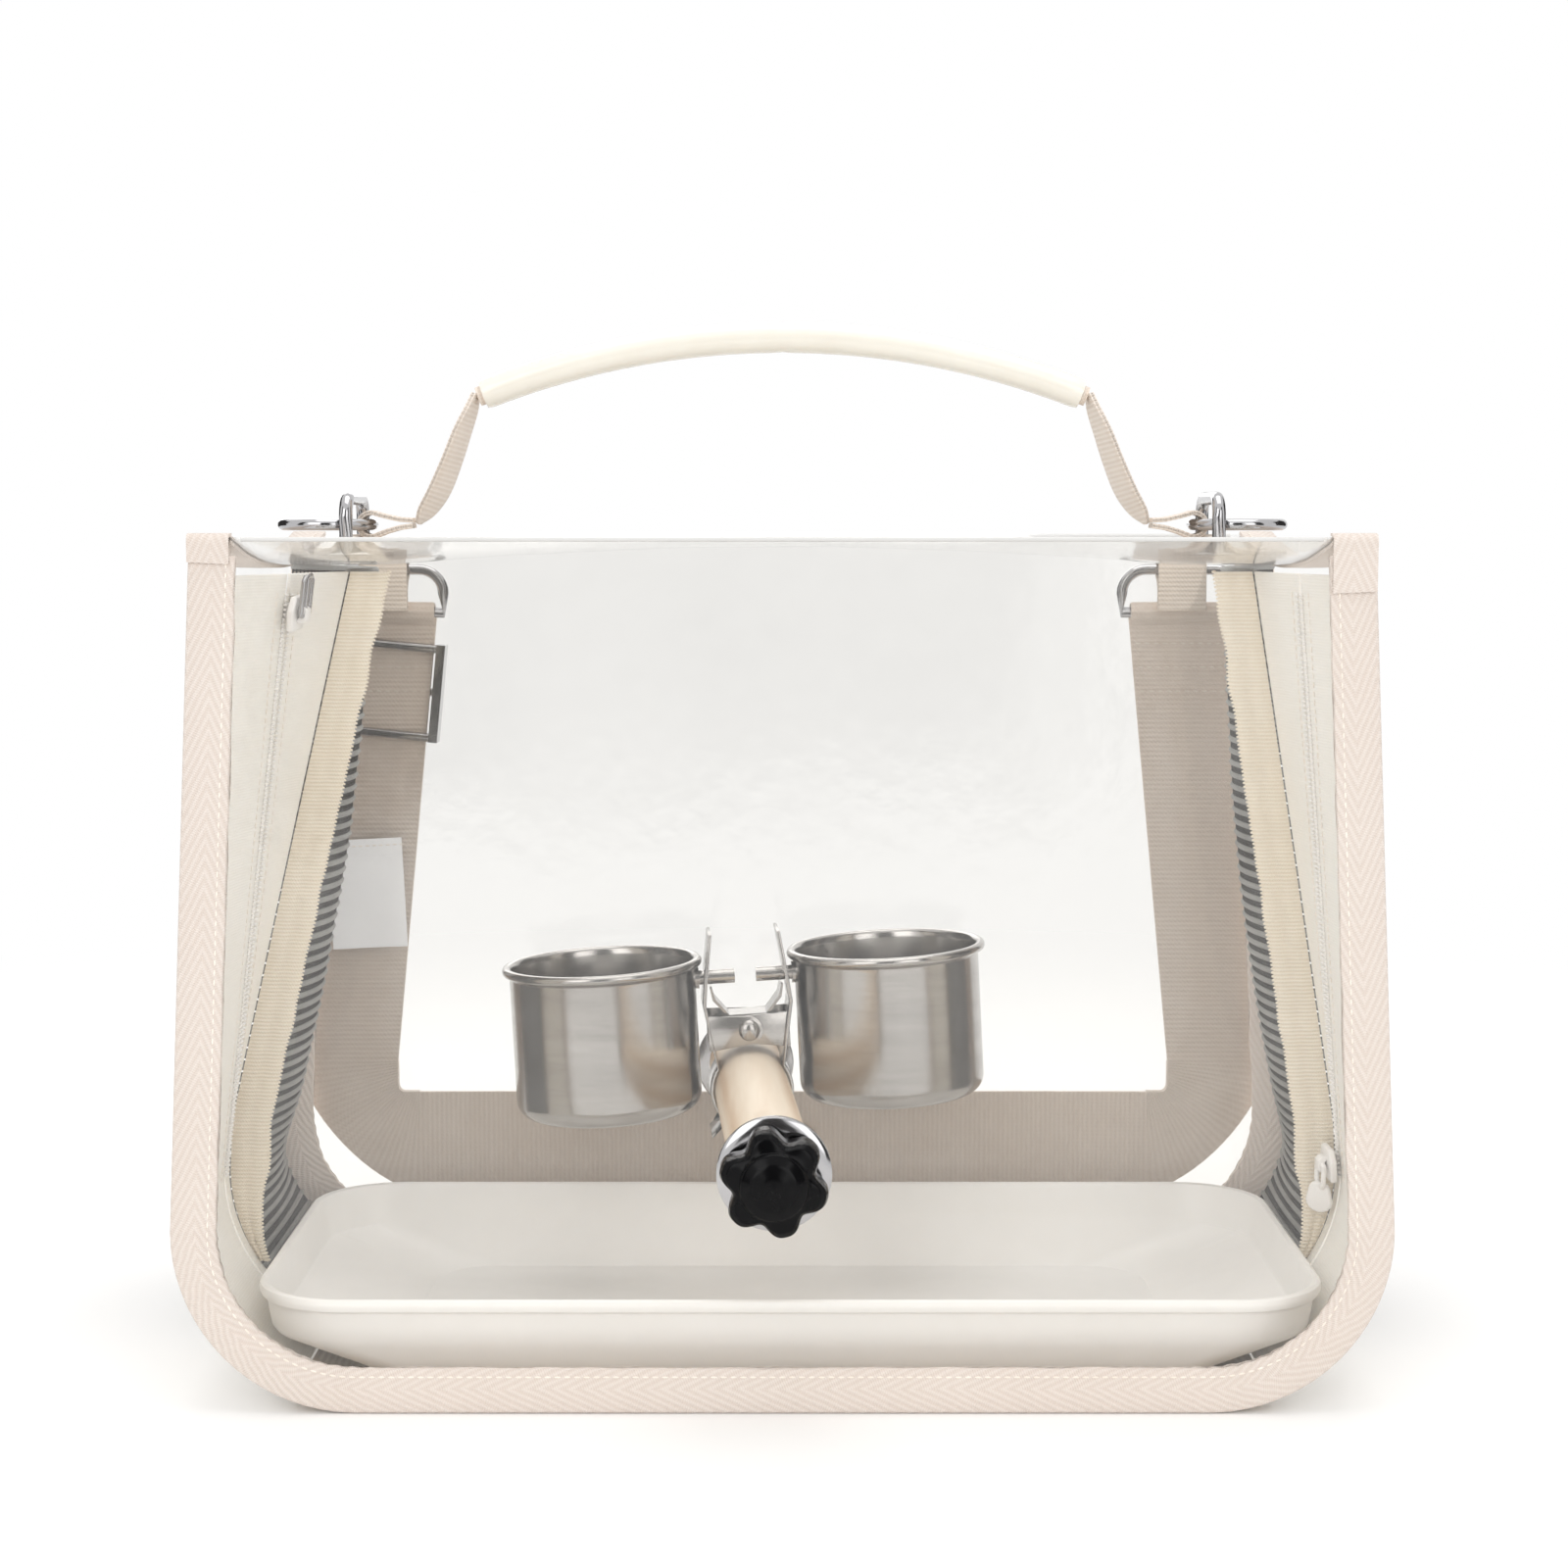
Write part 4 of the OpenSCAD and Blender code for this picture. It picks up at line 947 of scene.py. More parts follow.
def wood_material() -> Material:
    """Return the perch's pale wood."""
    mat, g, bsdf = new_material("light_wood")
    colours = {"Light": (*srgb(241, 226, 206), 1), "Dark": (*srgb(214, 186, 156), 1)}
    grain = g.node("ShaderNodeGroup", node_tree=grain_group())
    g.feed(grain, {"Vector": g.node("ShaderNodeTexCoord").outputs["Object"], **colours})
    bump = g.node("ShaderNodeBump", {"Distance": 0.00006, "Height": grain.outputs["Height"]})
    g.feed(bsdf, {"Base Color": grain.outputs["Colour"], "Normal": bump, "Roughness": 0.5})
    return mat


def clear_material(name: str, tint: tuple[float, float, float], gloss: float, haze: float) -> Material:
    """Build a clear flexible sheet, which lets light straight through, mirrors a share of it and throws no shade.

    Args:
        name: Name of the material.
        tint: Colour of the light that passes one face.
        gloss: Roughness of its reflections.
        haze: Share of each face that is milky.

    Returns:
        The material.
    """
    mat, g, bsdf = new_material(name)
    clear = g.node("ShaderNodeBsdfTransparent", {"Color": (*tint, 1)})
    back = g.node("ShaderNodeNewGeometry").outputs["Backfacing"]
    ior = g.node("ShaderNodeMapRange", {"To Min": 1.45, "To Max": 1 / 1.45, "Value": back})
    coords = g.node("ShaderNodeTexCoord").outputs["Object"]
    colours = {"Colour": (1, 1, 1, 1), "Shade": (0.9, 0.9, 0.9, 1), "Vector": coords}
    mask = g.node("ShaderNodeGroup", colours, node_tree=wear_group()).outputs["Mask"]
    bump = g.node("ShaderNodeBump", {"Distance": 0.0002, "Strength": 0.5, "Height": mask})
    fresnel = g.node("ShaderNodeFresnel", {"IOR": ior, "Normal": bump})
    path = g.node("ShaderNodeLightPath").outputs
    seen = g.math("SUBTRACT", 1.0, g.math("MAXIMUM", path["Is Shadow Ray"], path["Is Diffuse Ray"]))
    share = g.math("MULTIPLY", g.math("MULTIPLY_ADD", mask, haze, fresnel), seen)
    milky = {"Base Color": (0.95, 0.95, 0.95, 1), "Metallic": 0.75, "Roughness": gloss, "Normal": bump}
    g.feed(bsdf, milky)
    mix = g.node("ShaderNodeMixShader", {0: share, 1: clear, 2: bsdf})
    g.feed(g.tree.nodes["Material Output"], {"Surface": mix})
    return mat


class Materials:
    """All materials by slot name."""

    def __init__(self) -> None:
        """Build every material once."""
        self.by_slot = {f.slot: f.build() for f in FINISHES}
        self.by_slot["light_wood"] = wood_material()
        self.by_slot["clear_sheet"] = clear_material("clear_sheet", (0.985, 0.982, 0.975), 0.1, 0.02)

    def __getitem__(self, slot: str) -> Material:
        """Return the material of a slot."""
        return self.by_slot[slot]


# ---------------------------------------------------------------- the bag's shape


@dataclass(frozen=True)
class BagShape:
    """The bag's outline and side walls, in millimetres, as the frame has them."""

    bottom_w: float = 300.0
    top_w: float = 284.0
    height: float = 215.0
    depth: float = 142.0
    corner_r: float = 45.0
    sheet_t: float = 0.6
    fabric_t: float = 0.8
    tape_t: float = 0.8
    tape_w: float = 11.5
    fold_left: float = 27.0
    fold_right: float = 17.0
    belly: float = 5.0
    sag: float = 7.2
    root_y: float = -3.0
    edge_gap: float = 1.7
    wall_in: float = 0.8
    zip_top: float = 200.0
    zip_top_y: float = -30.0
    zip_bottom_y: float = -9.0
    arc_end: float = 68.0
    ring_x: float = 113.0

    @property
    def half_d(self) -> float:
        """Half the bag's depth."""
        return self.depth / 2

    @property
    def cx(self) -> float:
        """Sideways place of a lower corner's centre."""
        return self.bottom_w / 2 - self.corner_r

    @property
    def gusset_top(self) -> float:
        """Height of the side fabric's top edge."""
        return self.height - self.sag - 2.4

    def fold_of(self, side: Side) -> float:
        """Return how far a side folds in at its top."""
        return self.fold_left if side is Side.LEFT else self.fold_right

    def side_x(self, z: float, inset: float = 0.0) -> float:
        """Return the outline's half width at a height, drawn in by an inset."""
        if z >= self.corner_r:
            return lerp(self.bottom_w / 2, self.top_w / 2, (z - self.corner_r) / (self.height - self.corner_r)) - inset
        return self.cx + sqrt(max(0.0, (self.corner_r - inset) ** 2 - (self.corner_r - z) ** 2))

    def levels(self, straight: int, arc: int, low: float = -1.0) -> list[float]:
        """Return heights from the side's top edge down round the corner.

        Args:
            straight: Steps above the corner.
            arc: Steps round the corner.
            low: Heights at or below this one are left out.

        Returns:
            The heights, falling.
        """
        out = [lerp(self.gusset_top, self.corner_r, k / straight) for k in range(straight + 1)]
        r = self.corner_r - self.wall_in
        out += [self.corner_r - r * sin(radians(self.arc_end) * k / arc) for k in range(1, arc + 1)]
        return [z for z in out if z > low]

    def ramp(self, z: float, low: float) -> float:
        """Return the share of the way from a height up to the top edge."""
        return max(0.0, (z - low) / (self.gusset_top - low))

    def fold_in(self, z: float, fold: float) -> float:
        """Return how far the side seam lies inside the outline."""
        return fold * self.ramp(z, 58.0)

    def root_pt(self, z: float, fold: float) -> Vector:
        """Return the side seam's point at a height."""
        return vec(self.side_x(z, self.wall_in) - self.fold_in(z, fold), self.root_y, z)

    def front_pt(self, z: float) -> Vector:
        """Return the side fabric's front edge at a height."""
        return vec(self.side_x(z, self.wall_in), -self.half_d + self.edge_gap, z)

    def zip_y(self, z: float) -> float:
        """Return the zip's depth at a height."""
        return lerp(self.zip_bottom_y, self.zip_top_y, max(0.0, (z - self.corner_r) / (self.zip_top - self.corner_r)))

    def zip_pt(self, z: float, fold: float) -> Vector:
        """Return the zip line's point at a height."""
        if z < self.corner_r:
            return vec(self.side_x(z, self.wall_in), self.zip_bottom_y, z)
        share = (self.zip_top_y + self.half_d) / (self.root_y + self.half_d)
        top_x = self.side_x(self.zip_top, self.wall_in) - self.fold_in(self.zip_top, fold) * share
        t = (z - self.corner_r) / (self.zip_top - self.corner_r)
        return vec(lerp(self.side_x(self.corner_r, self.wall_in), top_x, t), self.zip_y(z), z)

    def net_pt(self, z: float, u: float, fold: float) -> Vector:
        """Return the net's point at a height and a share u from the seam to the back edge."""
        up = self.ramp(z, 18.0)
        apex = (fold + 4) * up + self.belly * sin(pi * up)
        root = self.fold_in(z, fold)
        hump = max(0.0, (apex - 0.71 * root) / 0.206)
        y = lerp(self.root_y + self.tape_t + 0.3, self.half_d - self.edge_gap, u)
        return vec(self.side_x(z, self.wall_in) - root * (1 - u) - hump * u * (1 - u), y, z)

    def deck_z(self, x: float, y: float) -> float:
        """Return the height of the top sheet's middle."""
        t = min(1.0, abs(x) / (self.ring_x - 10))
        drop = lerp(self.sag * 0.35, self.sag, t * t) * (1 - (y / self.half_d) ** 2)
        return self.height - self.sheet_t / 2 - drop

    def outline(self, inset: float, top: float, step: float = 2.0) -> Row:
        """Return the outline of the front from the top left down and round to the top right.

        Args:
            inset: How far the line is drawn in.
            top: Height of both ends.
            step: Distance between points.

        Returns:
            The points at y = 0.
        """
        r = self.corner_r - inset
        right = [vec(self.side_x(top, inset), 0, top), vec(self.side_x(self.corner_r, inset), 0, self.corner_r)]
        for k in range(1, 25):
            a = radians(90 * k / 24)
            right.append(vec(self.cx + r * cos(a), 0, self.corner_r - r * sin(a)))
        left = [vec(-p.x, 0, p.z) for p in right]
        return spaced(left + right[::-1], step)


def mirrored(side: Side, p: Vector) -> Vector:
    """Return a right-hand point on the given side."""
    return vec(p.x * side.value, p.y, p.z)


def angles(start: float, span: float, steps: int) -> list[float]:
    """Return even steps along an arc given in degrees, in radians."""
    return [radians(start + span * k / steps) for k in range(steps + 1)]


def moved(obj: Piece, m: Matrix) -> Piece:
    """Move a piece's points by a matrix in millimetres and return the piece."""
    scale = Matrix.Diagonal((MM, MM, MM, 1))
    obj.data.transform(scale @ m @ scale.inverted())
    return obj


def toward(a: Vector, b: Vector, d: float) -> Vector:
    """Return the point at a distance from a towards b."""
    return a + (b - a).normalized() * d


def catmull(values: Sequence[float], t: float) -> float:
    """Return a smooth value through a list at a share t of its length."""
    last = len(values) - 1
    k = min(last - 1, int(t * last))
    f = t * last - k
    p = [values[max(0, min(last, k + d))] for d in (-1, 0, 1, 2)]
    return 0.5 * (
        2 * p[1] + (p[2] - p[0]) * f + (2 * p[0] - 5 * p[1] + 4 * p[2] - p[3]) * f * f
        + (3 * p[1] - p[0] - 3 * p[2] + p[3]) * f ** 3
    )


@dataclass
class Kit:
    """What every sub-assembly needs: the frame, the shape and the materials."""

    frame: dict
    shape: BagShape
    mats: Materials

    def place(self, obj: Piece, body: str, slot: str, *nodes: str, paint: bool = True) -> Piece:
        """Finish a piece: paint it, let it ride and let it stand for its nodes.

        Args:
            obj: The piece.
            body: The body it moves with.
            slot: The material slot of its finish.
            nodes: The CAD nodes that it replaces.
            paint: Whether the slot's material is put on it.

        Returns:
            The piece.
        """
        if paint:
            obj.data.materials.clear()
            obj.data.materials.append(self.mats[slot])
        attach(obj, body)
        if nodes:
            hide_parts(*nodes)
        log.info("piece %s on %s", obj.name, body)
        return obj

    def stitch(
        self,
        name: str,
        lines: Iterable[Sequence[Vector]],
        pitch: float,
        size: tuple[float, float, float],
        up: Vector,
        body: str = "bag",
    ) -> None:
        """Sew a seam.

        Args:
            name: Name of the seam.
            lines: Its lines in millimetres.
            pitch: Distance between stitches in millimetres.
            size: Length, width and height of a stitch in millimetres.
            up: Direction that the stitches stand out to.
            body: The body it moves with.
        """
        seam = beads(name, lines, pitch, size, up, self.mats["stitch_thread"])
        self.place(seam, body, "stitch_thread", paint=False)

    def repaint(self, node: str, slot: str) -> None:
        """Give a carried-over CAD node a material of this script."""
        for item in self.frame["nodes"][node].material_slots:
            item.material = self.mats[slot]
        log.info("CAD node %s painted %s", node, slot)


# ---------------------------------------------------------------- sub-assemblies


@dataclass
class ClearSheets:
    """The front, back and top sheets of clear film."""

    kit: Kit
    inset: float = 1.5
    wave: float = 0.45

    def build(self) -> None:
        """Build the three sheets."""
        self._upright("front_sheet", -self.kit.shape.half_d + 0.3, "front_panel", 3.0)
        self._upright("back_sheet", self.kit.shape.half_d - 0.3, "back_panel", 11.0)
        self._top()

    def _upright(self, name: str, y: float, node: str, seed: float) -> None:
        """Build one flat sheet with soft waves in it.

        Args:
            name: Name of the piece.
            y: Depth of the sheet's middle.
            node: The CAD node that it replaces.
            seed: Moves the waves.
        """
        s = self.kit.shape
        low, high = self.inset, s.height - 0.5
        rows: list[Row] = []
        for i in range(73):
            z = lerp(high, low + 0.02, i / 72)
            half = s.side_x(z, self.inset)
            row: Row = []
            for j in range(97):
                x = lerp(-half, half, j / 96)
                rim = min((half - abs(x)) / 26, (z - low) / 26, (high - z) / 12, 1.0)
                w = self.wave * smooth_step(rim) * (
                    ripple(x, 0, z, 70, seed) + 0.45 * ripple(x, 0, z * 0.6, 28, seed + 4)
                )
                row.append(vec(x, y + w, z))
            rows.append(row)
        sheet = cloth(name, rows, s.sheet_t)
        self.kit.place(sheet, "bag", "clear_sheet", node)
        end = s.top_w / 2 - 12.5
        line = [vec(lerp(-end, end, i / 48), y, high - 0.1) for i in range(49)]
        self.kit.place(tube(f"{name}_edge", line, 0.55, 10), "bag", "sheet_edge")

    def _top(self) -> None:
        """Build the top sheet, which sags over the rings and is pinched at its ends."""
        s = self.kit.shape
        rows: list[Row] = []
        half = s.top_w / 2 - 1.2
        for i in range(97):
            x = lerp(-half, half, i / 96)
            row: Row = []
            for j in range(37):
                y = lerp(-s.half_d + 0.2, s.half_d - 0.2, j / 36)
                rim = min((s.half_d - abs(y)) / 18, (half - abs(x)) / 18, 1.0)
                near = smooth_step((abs(x) - 84) / 12) * smooth_step((22 - abs(y)) / 8)
                w = 0.5 * smooth_step(rim) * (1 - near) * ripple(x, y, 0, 34, 7.0)
                row.append(vec(x, y, s.deck_z(x, y) + w))
            rows.append(row)
        self.kit.place(cloth("top_sheet", rows, s.sheet_t), "bag", "clear_sheet", "top_panel")


@dataclass
class Bindings:
    """Folded tape round the edge of the front and back sheets, with its stitches."""

    kit: Kit
    scallop: float = 0.35

    def build(self) -> None:
        """Build both bindings and their stitches."""
        s = self.kit.shape
        self._one("front_edge_tape", -s.half_d + s.sheet_t / 2, "front_binding", -1)
        self._one("back_edge_tape", s.half_d - s.sheet_t / 2, "back_binding", 1)

    def _one(self, name: str, y_mid: float, node: str, face: int) -> None:
        """Build one binding.

        Args:
            name: Name of the piece.
            y_mid: Depth of the sheet's middle.
            node: The CAD node that it replaces.
            face: -1 where the stitches face the front, 1 where they face the back.
        """
        s = self.kit.shape
        path = s.outline(0.45, s.height - 4, 1.6)
        last = len(path) - 1
        out = s.sheet_t / 2 + s.tape_t
        normals: Row = []
        for i in range(len(path)):
            run = (path[min(i + 1, last)] - path[max(i - 1, 0)]).normalized()
            normals.append(vec(-run.z, 0, run.x))

        def edge(i: int, seed: float) -> float:
            """Return how far the tape reaches in at a path point."""
            p = path[i]
            bend = smooth_step((s.corner_r + 12 - p.z) / 14) * smooth_step((abs(p.x) - s.cx + 14) / 14)
            gather = 0.16 * bend * sin(i * 1.6 / 5.2 * 2 * pi)
            return s.tape_w - 0.45 + gather + self.scallop * ripple(p.x, seed, p.z, 9, seed)

        def ring(i: int, _along: float) -> Row:
            """Return the section's points at a path point."""
            p, n = path[i], normals[i]
            points: Row = []
            puff = 0.18 * ripple(p.x, 4, p.z, 12, 5)
            front, back = edge(i, 1.0), edge(i, 6.0)
            shape = [
                (front, -0.35), (front - 0.2, -out), (front - 1.8, -out - 0.12 + puff * 0.2),
                (front * 0.5, -out - 0.16 + puff),
                (0.6, -out), (-0.25, -out * 0.6), (-0.45, 0), (-0.25, out * 0.6), (0.6, out),
                (back * 0.5, out + 0.1 - puff), (back - 1.8, out + 0.08), (back - 0.2, out), (back, 0.35),
                (back * 0.6, 0.32), (1.2, 0.32), (1.2, -0.32), (front * 0.6, -0.32),
            ]
            for inward, y in shape:
                points.append(p + n * inward + vec(0, y_mid + y, 0))
            return points

        tape = sweep(name, path, ring)
        # The back binding takes the paler copy of the same tape: painted light.
        self.kit.place(tape, "bag", "cream_tape" if face < 0 else "pale_tape", node)
        y = y_mid + face * (out + 0.14)
        line = [path[i] + normals[i] * (s.tape_w - 2.6) + vec(0, y, 0) for i in range(len(path))]
        self.kit.stitch(f"{name}_stitches", [line], 2.4, (1.75, 0.5, 0.42), vec(0, face, 0))


@dataclass
class TopTapes:
    """Tape folded over each end of the top sheet, with its turned-down front corner."""

    kit: Kit
    width: float = 10.0
    flap: float = 13.0

    def build(self) -> None:
        """Build both tapes."""
        for side in Side:
            self._one(side)

    def _one(self, side: Side) -> None:
        """Build the tape at one end."""
        s = self.kit.shape
        x1 = s.top_w / 2
        out = s.sheet_t / 2 + s.tape_t
        n = 60
        path = [vec(x1, lerp(-s.half_d + 0.9, s.half_d - 0.9, k / n), 0) for k in range(n + 1)]

        def ring(i: int, _along: float) -> Row:
            """Return the section's points at a path point."""
            y = path[i].y
            z = s.deck_z(x1, y)
            w = self.width + 0.3 * ripple(0, y, 3, 8, side.value)
            shape = [
                (w, -0.34), (w - 0.2, -out), (w * 0.5, -out - 0.05), (0.5, -out), (0.1, -out * 0.55), (0, 0),
                (0.1, out * 0.55), (0.5, out), (w * 0.5, out + 0.12), (w - 0.2, out), (w, 0.34), (w * 0.5, 0.33),
                (1.1, 0.32), (1.1, -0.32), (w * 0.5, -0.33),
            ]
            return [mirrored(side, vec(x1 - a, y, z + b)) for a, b in shape]

        spine = [mirrored(side, vec(x1, p.y, s.deck_z(x1, p.y))) for p in path]
        tape = sweep(f"end_tape_{side.word}", spine, ring)
        parts = [tape] + self._corner(side)
        whole = joined(f"end_tape_{side.word}", parts)
        self.kit.place(whole, "bag", "cream_tape", f"top_tape_{side.word}")
        line = [mirrored(side, vec(x1 - self.width + 2.2, p.y, s.deck_z(x1, p.y) + out + 0.16)) for p in path[2:-2]]
        self.kit.stitch(f"end_tape_{side.word}_stitches", [line], 2.4, (1.75, 0.5, 0.42), vec(0, 0, 1))

    def _corner(self, side: Side) -> list[Piece]:
        """Build the tape's end where it turns down over the front tape's end."""
        s = self.kit.shape
        x1 = s.top_w / 2
        front = -s.half_d - s.tape_t - 0.55
        drop = self.flap if side is Side.RIGHT else 6.0
        path = [
            vec(x1, -s.half_d + 3.0, s.height + 0.55), vec(x1, front + 0.7, s.height + 0.5),
            vec(x1, front - 0.1, s.height - 0.5), vec(x1, front, s.height - 3), vec(x1, front, s.height - drop),
        ]
        path = rounded(path, 2)
        rows: list[Row] = []
        for k, p in enumerate(path):
            t = k / (len(path) - 1)
            w = self.width + (0.6 if side is Side.RIGHT else 0.0)
            row: Row = []
            for j in range(7):
                a = j / 6
                lean = 0.5 * t * a
                row.append(mirrored(side, p + vec(0.2 - a * w, -0.12 * sin(pi * a), -lean)))
            rows.append(row)
        return [cloth(f"corner_{side.word}", rows, 0.75)]


@dataclass
class BasePanel:
    """The ribbed base band, which climbs a little round each lower corner."""

    kit: Kit
    thick: float = 1.2

    def build(self) -> None:
        """Build the base."""
        s = self.kit.shape
        cut = s.corner_r * cos(radians(s.arc_end + 1.2))
        inset = self.thick / 2
        r = s.corner_r - inset
        half = s.cx + cut
        line: Row = []
        n = 150
        for k in range(n + 1):
            x = lerp(-half, half, k / n)
            over = max(0.0, abs(x) - s.cx)
            line.append(vec(x, 0, s.corner_r - sqrt(r * r - over * over)))
        rows: list[Row] = []
        for i, p in enumerate(line):
            row: Row = []
            for j in range(25):
                y = lerp(-s.half_d + s.edge_gap, s.half_d - s.edge_gap, j / 24)
                lift = 0.12 * ripple(p.x, y, 0, 22, 3.0) + 0.1
                row.append(p + vec(0, y, max(0.0, lift) if 0 < i < n else 0.0))
            rows.append(row)
        panel = cloth("base_panel_cloth", rows, self.thick * 0.82)
        self.kit.place(panel, "bag", "cream_fabric", "base_panel")


@dataclass
class SideWall:
    """One side of the bag: fabric in front of and behind the zip, the net, the ribbon and the zip."""

    kit: Kit
    side: Side
    slit: float = 0.8
    rib_pitch: float = 3.3

    def build(self) -> None:
        """Build the side's pieces."""
        self._fabric()
        self._net()
        self._ribbon()
        self._zip()

    @property
    def fold(self) -> float:
        """How far this side folds in at its top."""
        return self.kit.shape.fold_of(self.side)

    def _fabric(self) -> None:
        """Build the strips in front of and behind the zip."""
        s = self.kit.shape
        word = self.side.word
        front: list[Row] = []
        middle: list[Row] = []
        for z in s.levels(56, 30):
            p, q, r = s.front_pt(z), s.zip_pt(z, self.fold), s.root_pt(z, self.fold)
            a, b = toward(q, p, self.slit), toward(q, r, self.slit)
            rise = smooth_step((z - 6) / 40)
            row: Row = []
            for j in range(25):
                t = j / 24
                w = 0.55 * rise * sin(pi * t) ** 0.8 * ripple(0, t * 40, z, 26, 2.0 + self.side.value)
                row.append(mirrored(self.side, p.lerp(a, t) + vec(w, 0, 0)))
            front.append(row)
            row = []
            for j in range(13):
                t = j / 12
                w = 0.3 * rise * sin(pi * t) * ripple(0, t * 30, z, 22, 5.0 + self.side.value)
                row.append(mirrored(self.side, b.lerp(r, t) + vec(w, 0, 0)))
            middle.append(row)
        self.kit.place(cloth(f"front_strip_{word}", front, s.fabric_t), "bag", "side_fabric", f"front_gusset_{word}")
        self.kit.place(cloth(f"middle_strip_{word}", middle, s.fabric_t), "bag", "side_fabric", f"middle_gusset_{word}")

    def _net_point(self, z: float, u: float) -> Vector:
        """Return a point of the net with the soft unevenness of cloth."""
        s = self.kit.shape
        p = s.net_pt(z, u, self.fold)
        calm = sin(pi * u) * s.ramp(z, 30.0) ** 0.5
        p.x += 0.7 * calm * ripple(0, p.y, z, 24, 1.0 + 3 * self.side.value)
        return mirrored(self.side, p)

    def _net(self) -> None:
        """Build the pleated net: ribs across, fine threads across and down."""
        s = self.kit.shape
        word = self.side.word
        fine = s.levels(110, 40)
        spine = [s.net_pt(z, 0.5, self.fold) for z in fine]
        along = [0.0]
        for a, b in zip(spine, spine[1:]):
            along.append(along[-1] + (b - a).length)

        def level_at(d: float) -> float:
            """Return the height at a distance down the net."""
            for k in range(1, len(along)):
                if along[k] >= d:
                    t = (d - along[k - 1]) / (along[k] - along[k - 1])
                    return lerp(fine[k - 1], fine[k], t)
            return fine[-1]

        mats = self.kit.mats
        ribs: list[Row] = []
        weft: list[Row] = []
        count = int(along[-1] / self.rib_pitch)
        for i in range(count + 1):
            z = level_at(along[-1] * i / count)
            ribs.append([self._net_point(z, j / 26) for j in range(27)])
            for f in (0.33, 0.66):
                if i < count:
                    zz = level_at(along[-1] * (i + f) / count)
                    weft.append([self._net_point(zz, j / 18) for j in range(19)])
        warp = [[self._net_point(z, j / 62) for z in fine[::2]] for j in range(63)]
        parts = [
            threads(f"net_ribs_{word}", ribs, 0.85, 6, mats["net"]),
            threads(f"net_weft_{word}", weft, 0.24, 4, mats["net_thread"]),
            threads(f"net_warp_{word}", warp, 0.22, 4, mats["net_thread"]),
        ]
        whole = joined(f"net_{word}", parts)
        self.kit.place(whole, "bag", "net", f"mesh_window_{word}", paint=False)

    def _ribbon(self) -> None:
        """Build the ribbon that stands into the bag along the side seam, with its looped edge."""
        s = self.kit.shape
        word = self.side.word
        rows: list[Row] = []
        tip: Row = []
        for z in s.levels(90, 26, 20.0):
            x = s.side_x(z, s.wall_in) - s.fold_in(z, self.fold) - s.fabric_t / 2 - 0.6
            w = lerp(2.0, 10.0, min(1.0, (z - 20.0) / 25.0))
            w *= 1 + 0.06 * ripple(0, 0, z, 9, 2.0)
            row: Row = []
            for j in range(9):
                t = j / 8
                dip = 0.55 * sin(2 * pi * t) ** 2 - 0.3 + 0.15 * ripple(0, t * 10, z, 11, 8)
                row.append(mirrored(self.side, vec(x - w * t, s.root_y - t + 0.2 - dip, z)))
            rows.append(row)
            tip.append(row[-1] + vec(0, -0.1, 0))
        ribbon = cloth(f"seam_ribbon_cloth_{word}", rows, 1.3)
        self.kit.place(ribbon, "bag", "ribbon_loops", f"seam_ribbon_{word}")
        mat = self.kit.mats["ribbon_loops"]
        loops = beads(f"seam_ribbon_loops_{word}", [tip], 1.03, (0.8, 1.3, 1.2), vec(0, -1, 0), mat)
        self.kit.place(loops, "bag", "cream_tape", paint=False)

    def _zip(self) -> None:
        """Build the coils on both sides of the slit and the stitches beside them."""
        s = self.kit.shape
        word = self.side.word
        coil: list[Row] = []
        seam: list[Row] = []
        steps = 50
        inward = vec(-self.side.value, 0, 0)
        for toward_front in (True, False):
            row: Row = []
            sewn: Row = []
            for k in range(steps + 1):
                z = lerp(s.zip_top, s.corner_r, k / steps)
                q = s.zip_pt(z, self.fold)
                p = s.front_pt(z) if toward_front else s.root_pt(z, self.fold)
                lift = vec(-(s.fabric_t / 2 + 0.5), 0, 0)
                row.append(mirrored(self.side, toward(q, p, self.slit + 0.55) + lift))
                sewn.append(mirrored(self.side, toward(q, p, self.slit + 4.2) + vec(-(s.fabric_t / 2 + 0.12), 0, 0)))
            coil.append(row)
            seam.append(sewn)
        coils = beads(f"zip_teeth_{word}", coil, 1.25, (0.8, 1.5, 1.0), inward, self.kit.mats["zip_plastic"])
        self.kit.place(coils, "bag", "zip_plastic", f"zip_coils_{word}", paint=False)
        self.kit.stitch(f"zip_stitches_{word}", seam, 2.3, (1.7, 0.4, 0.35), inward)

    def frame_at(self, z: float) -> Matrix:
        """Return the zip line's frame at a height: Z runs up the line and X into the bag."""
        s = self.kit.shape
        p = s.zip_pt(z, self.fold)
        d = s.zip_pt(s.zip_top, self.fold) - s.zip_pt(s.corner_r, self.fold)
        tilt = acos(d.z / d.length)
        turn = atan2(d.y, d.x)
        mid = (s.zip_top + s.corner_r) / 2
        across = s.root_pt(mid, self.fold) - s.front_pt(mid)
        yaw = atan2(across.y, across.x) + pi / 2
        m = Matrix.Translation(p) @ Matrix.Rotation(turn, 4, "Z") @ Matrix.Rotation(tilt, 4, "Y")
        m = m @ Matrix.Rotation(yaw - turn, 4, "Z")
        return Matrix.Diagonal((self.side.value, 1, 1, 1)) @ m


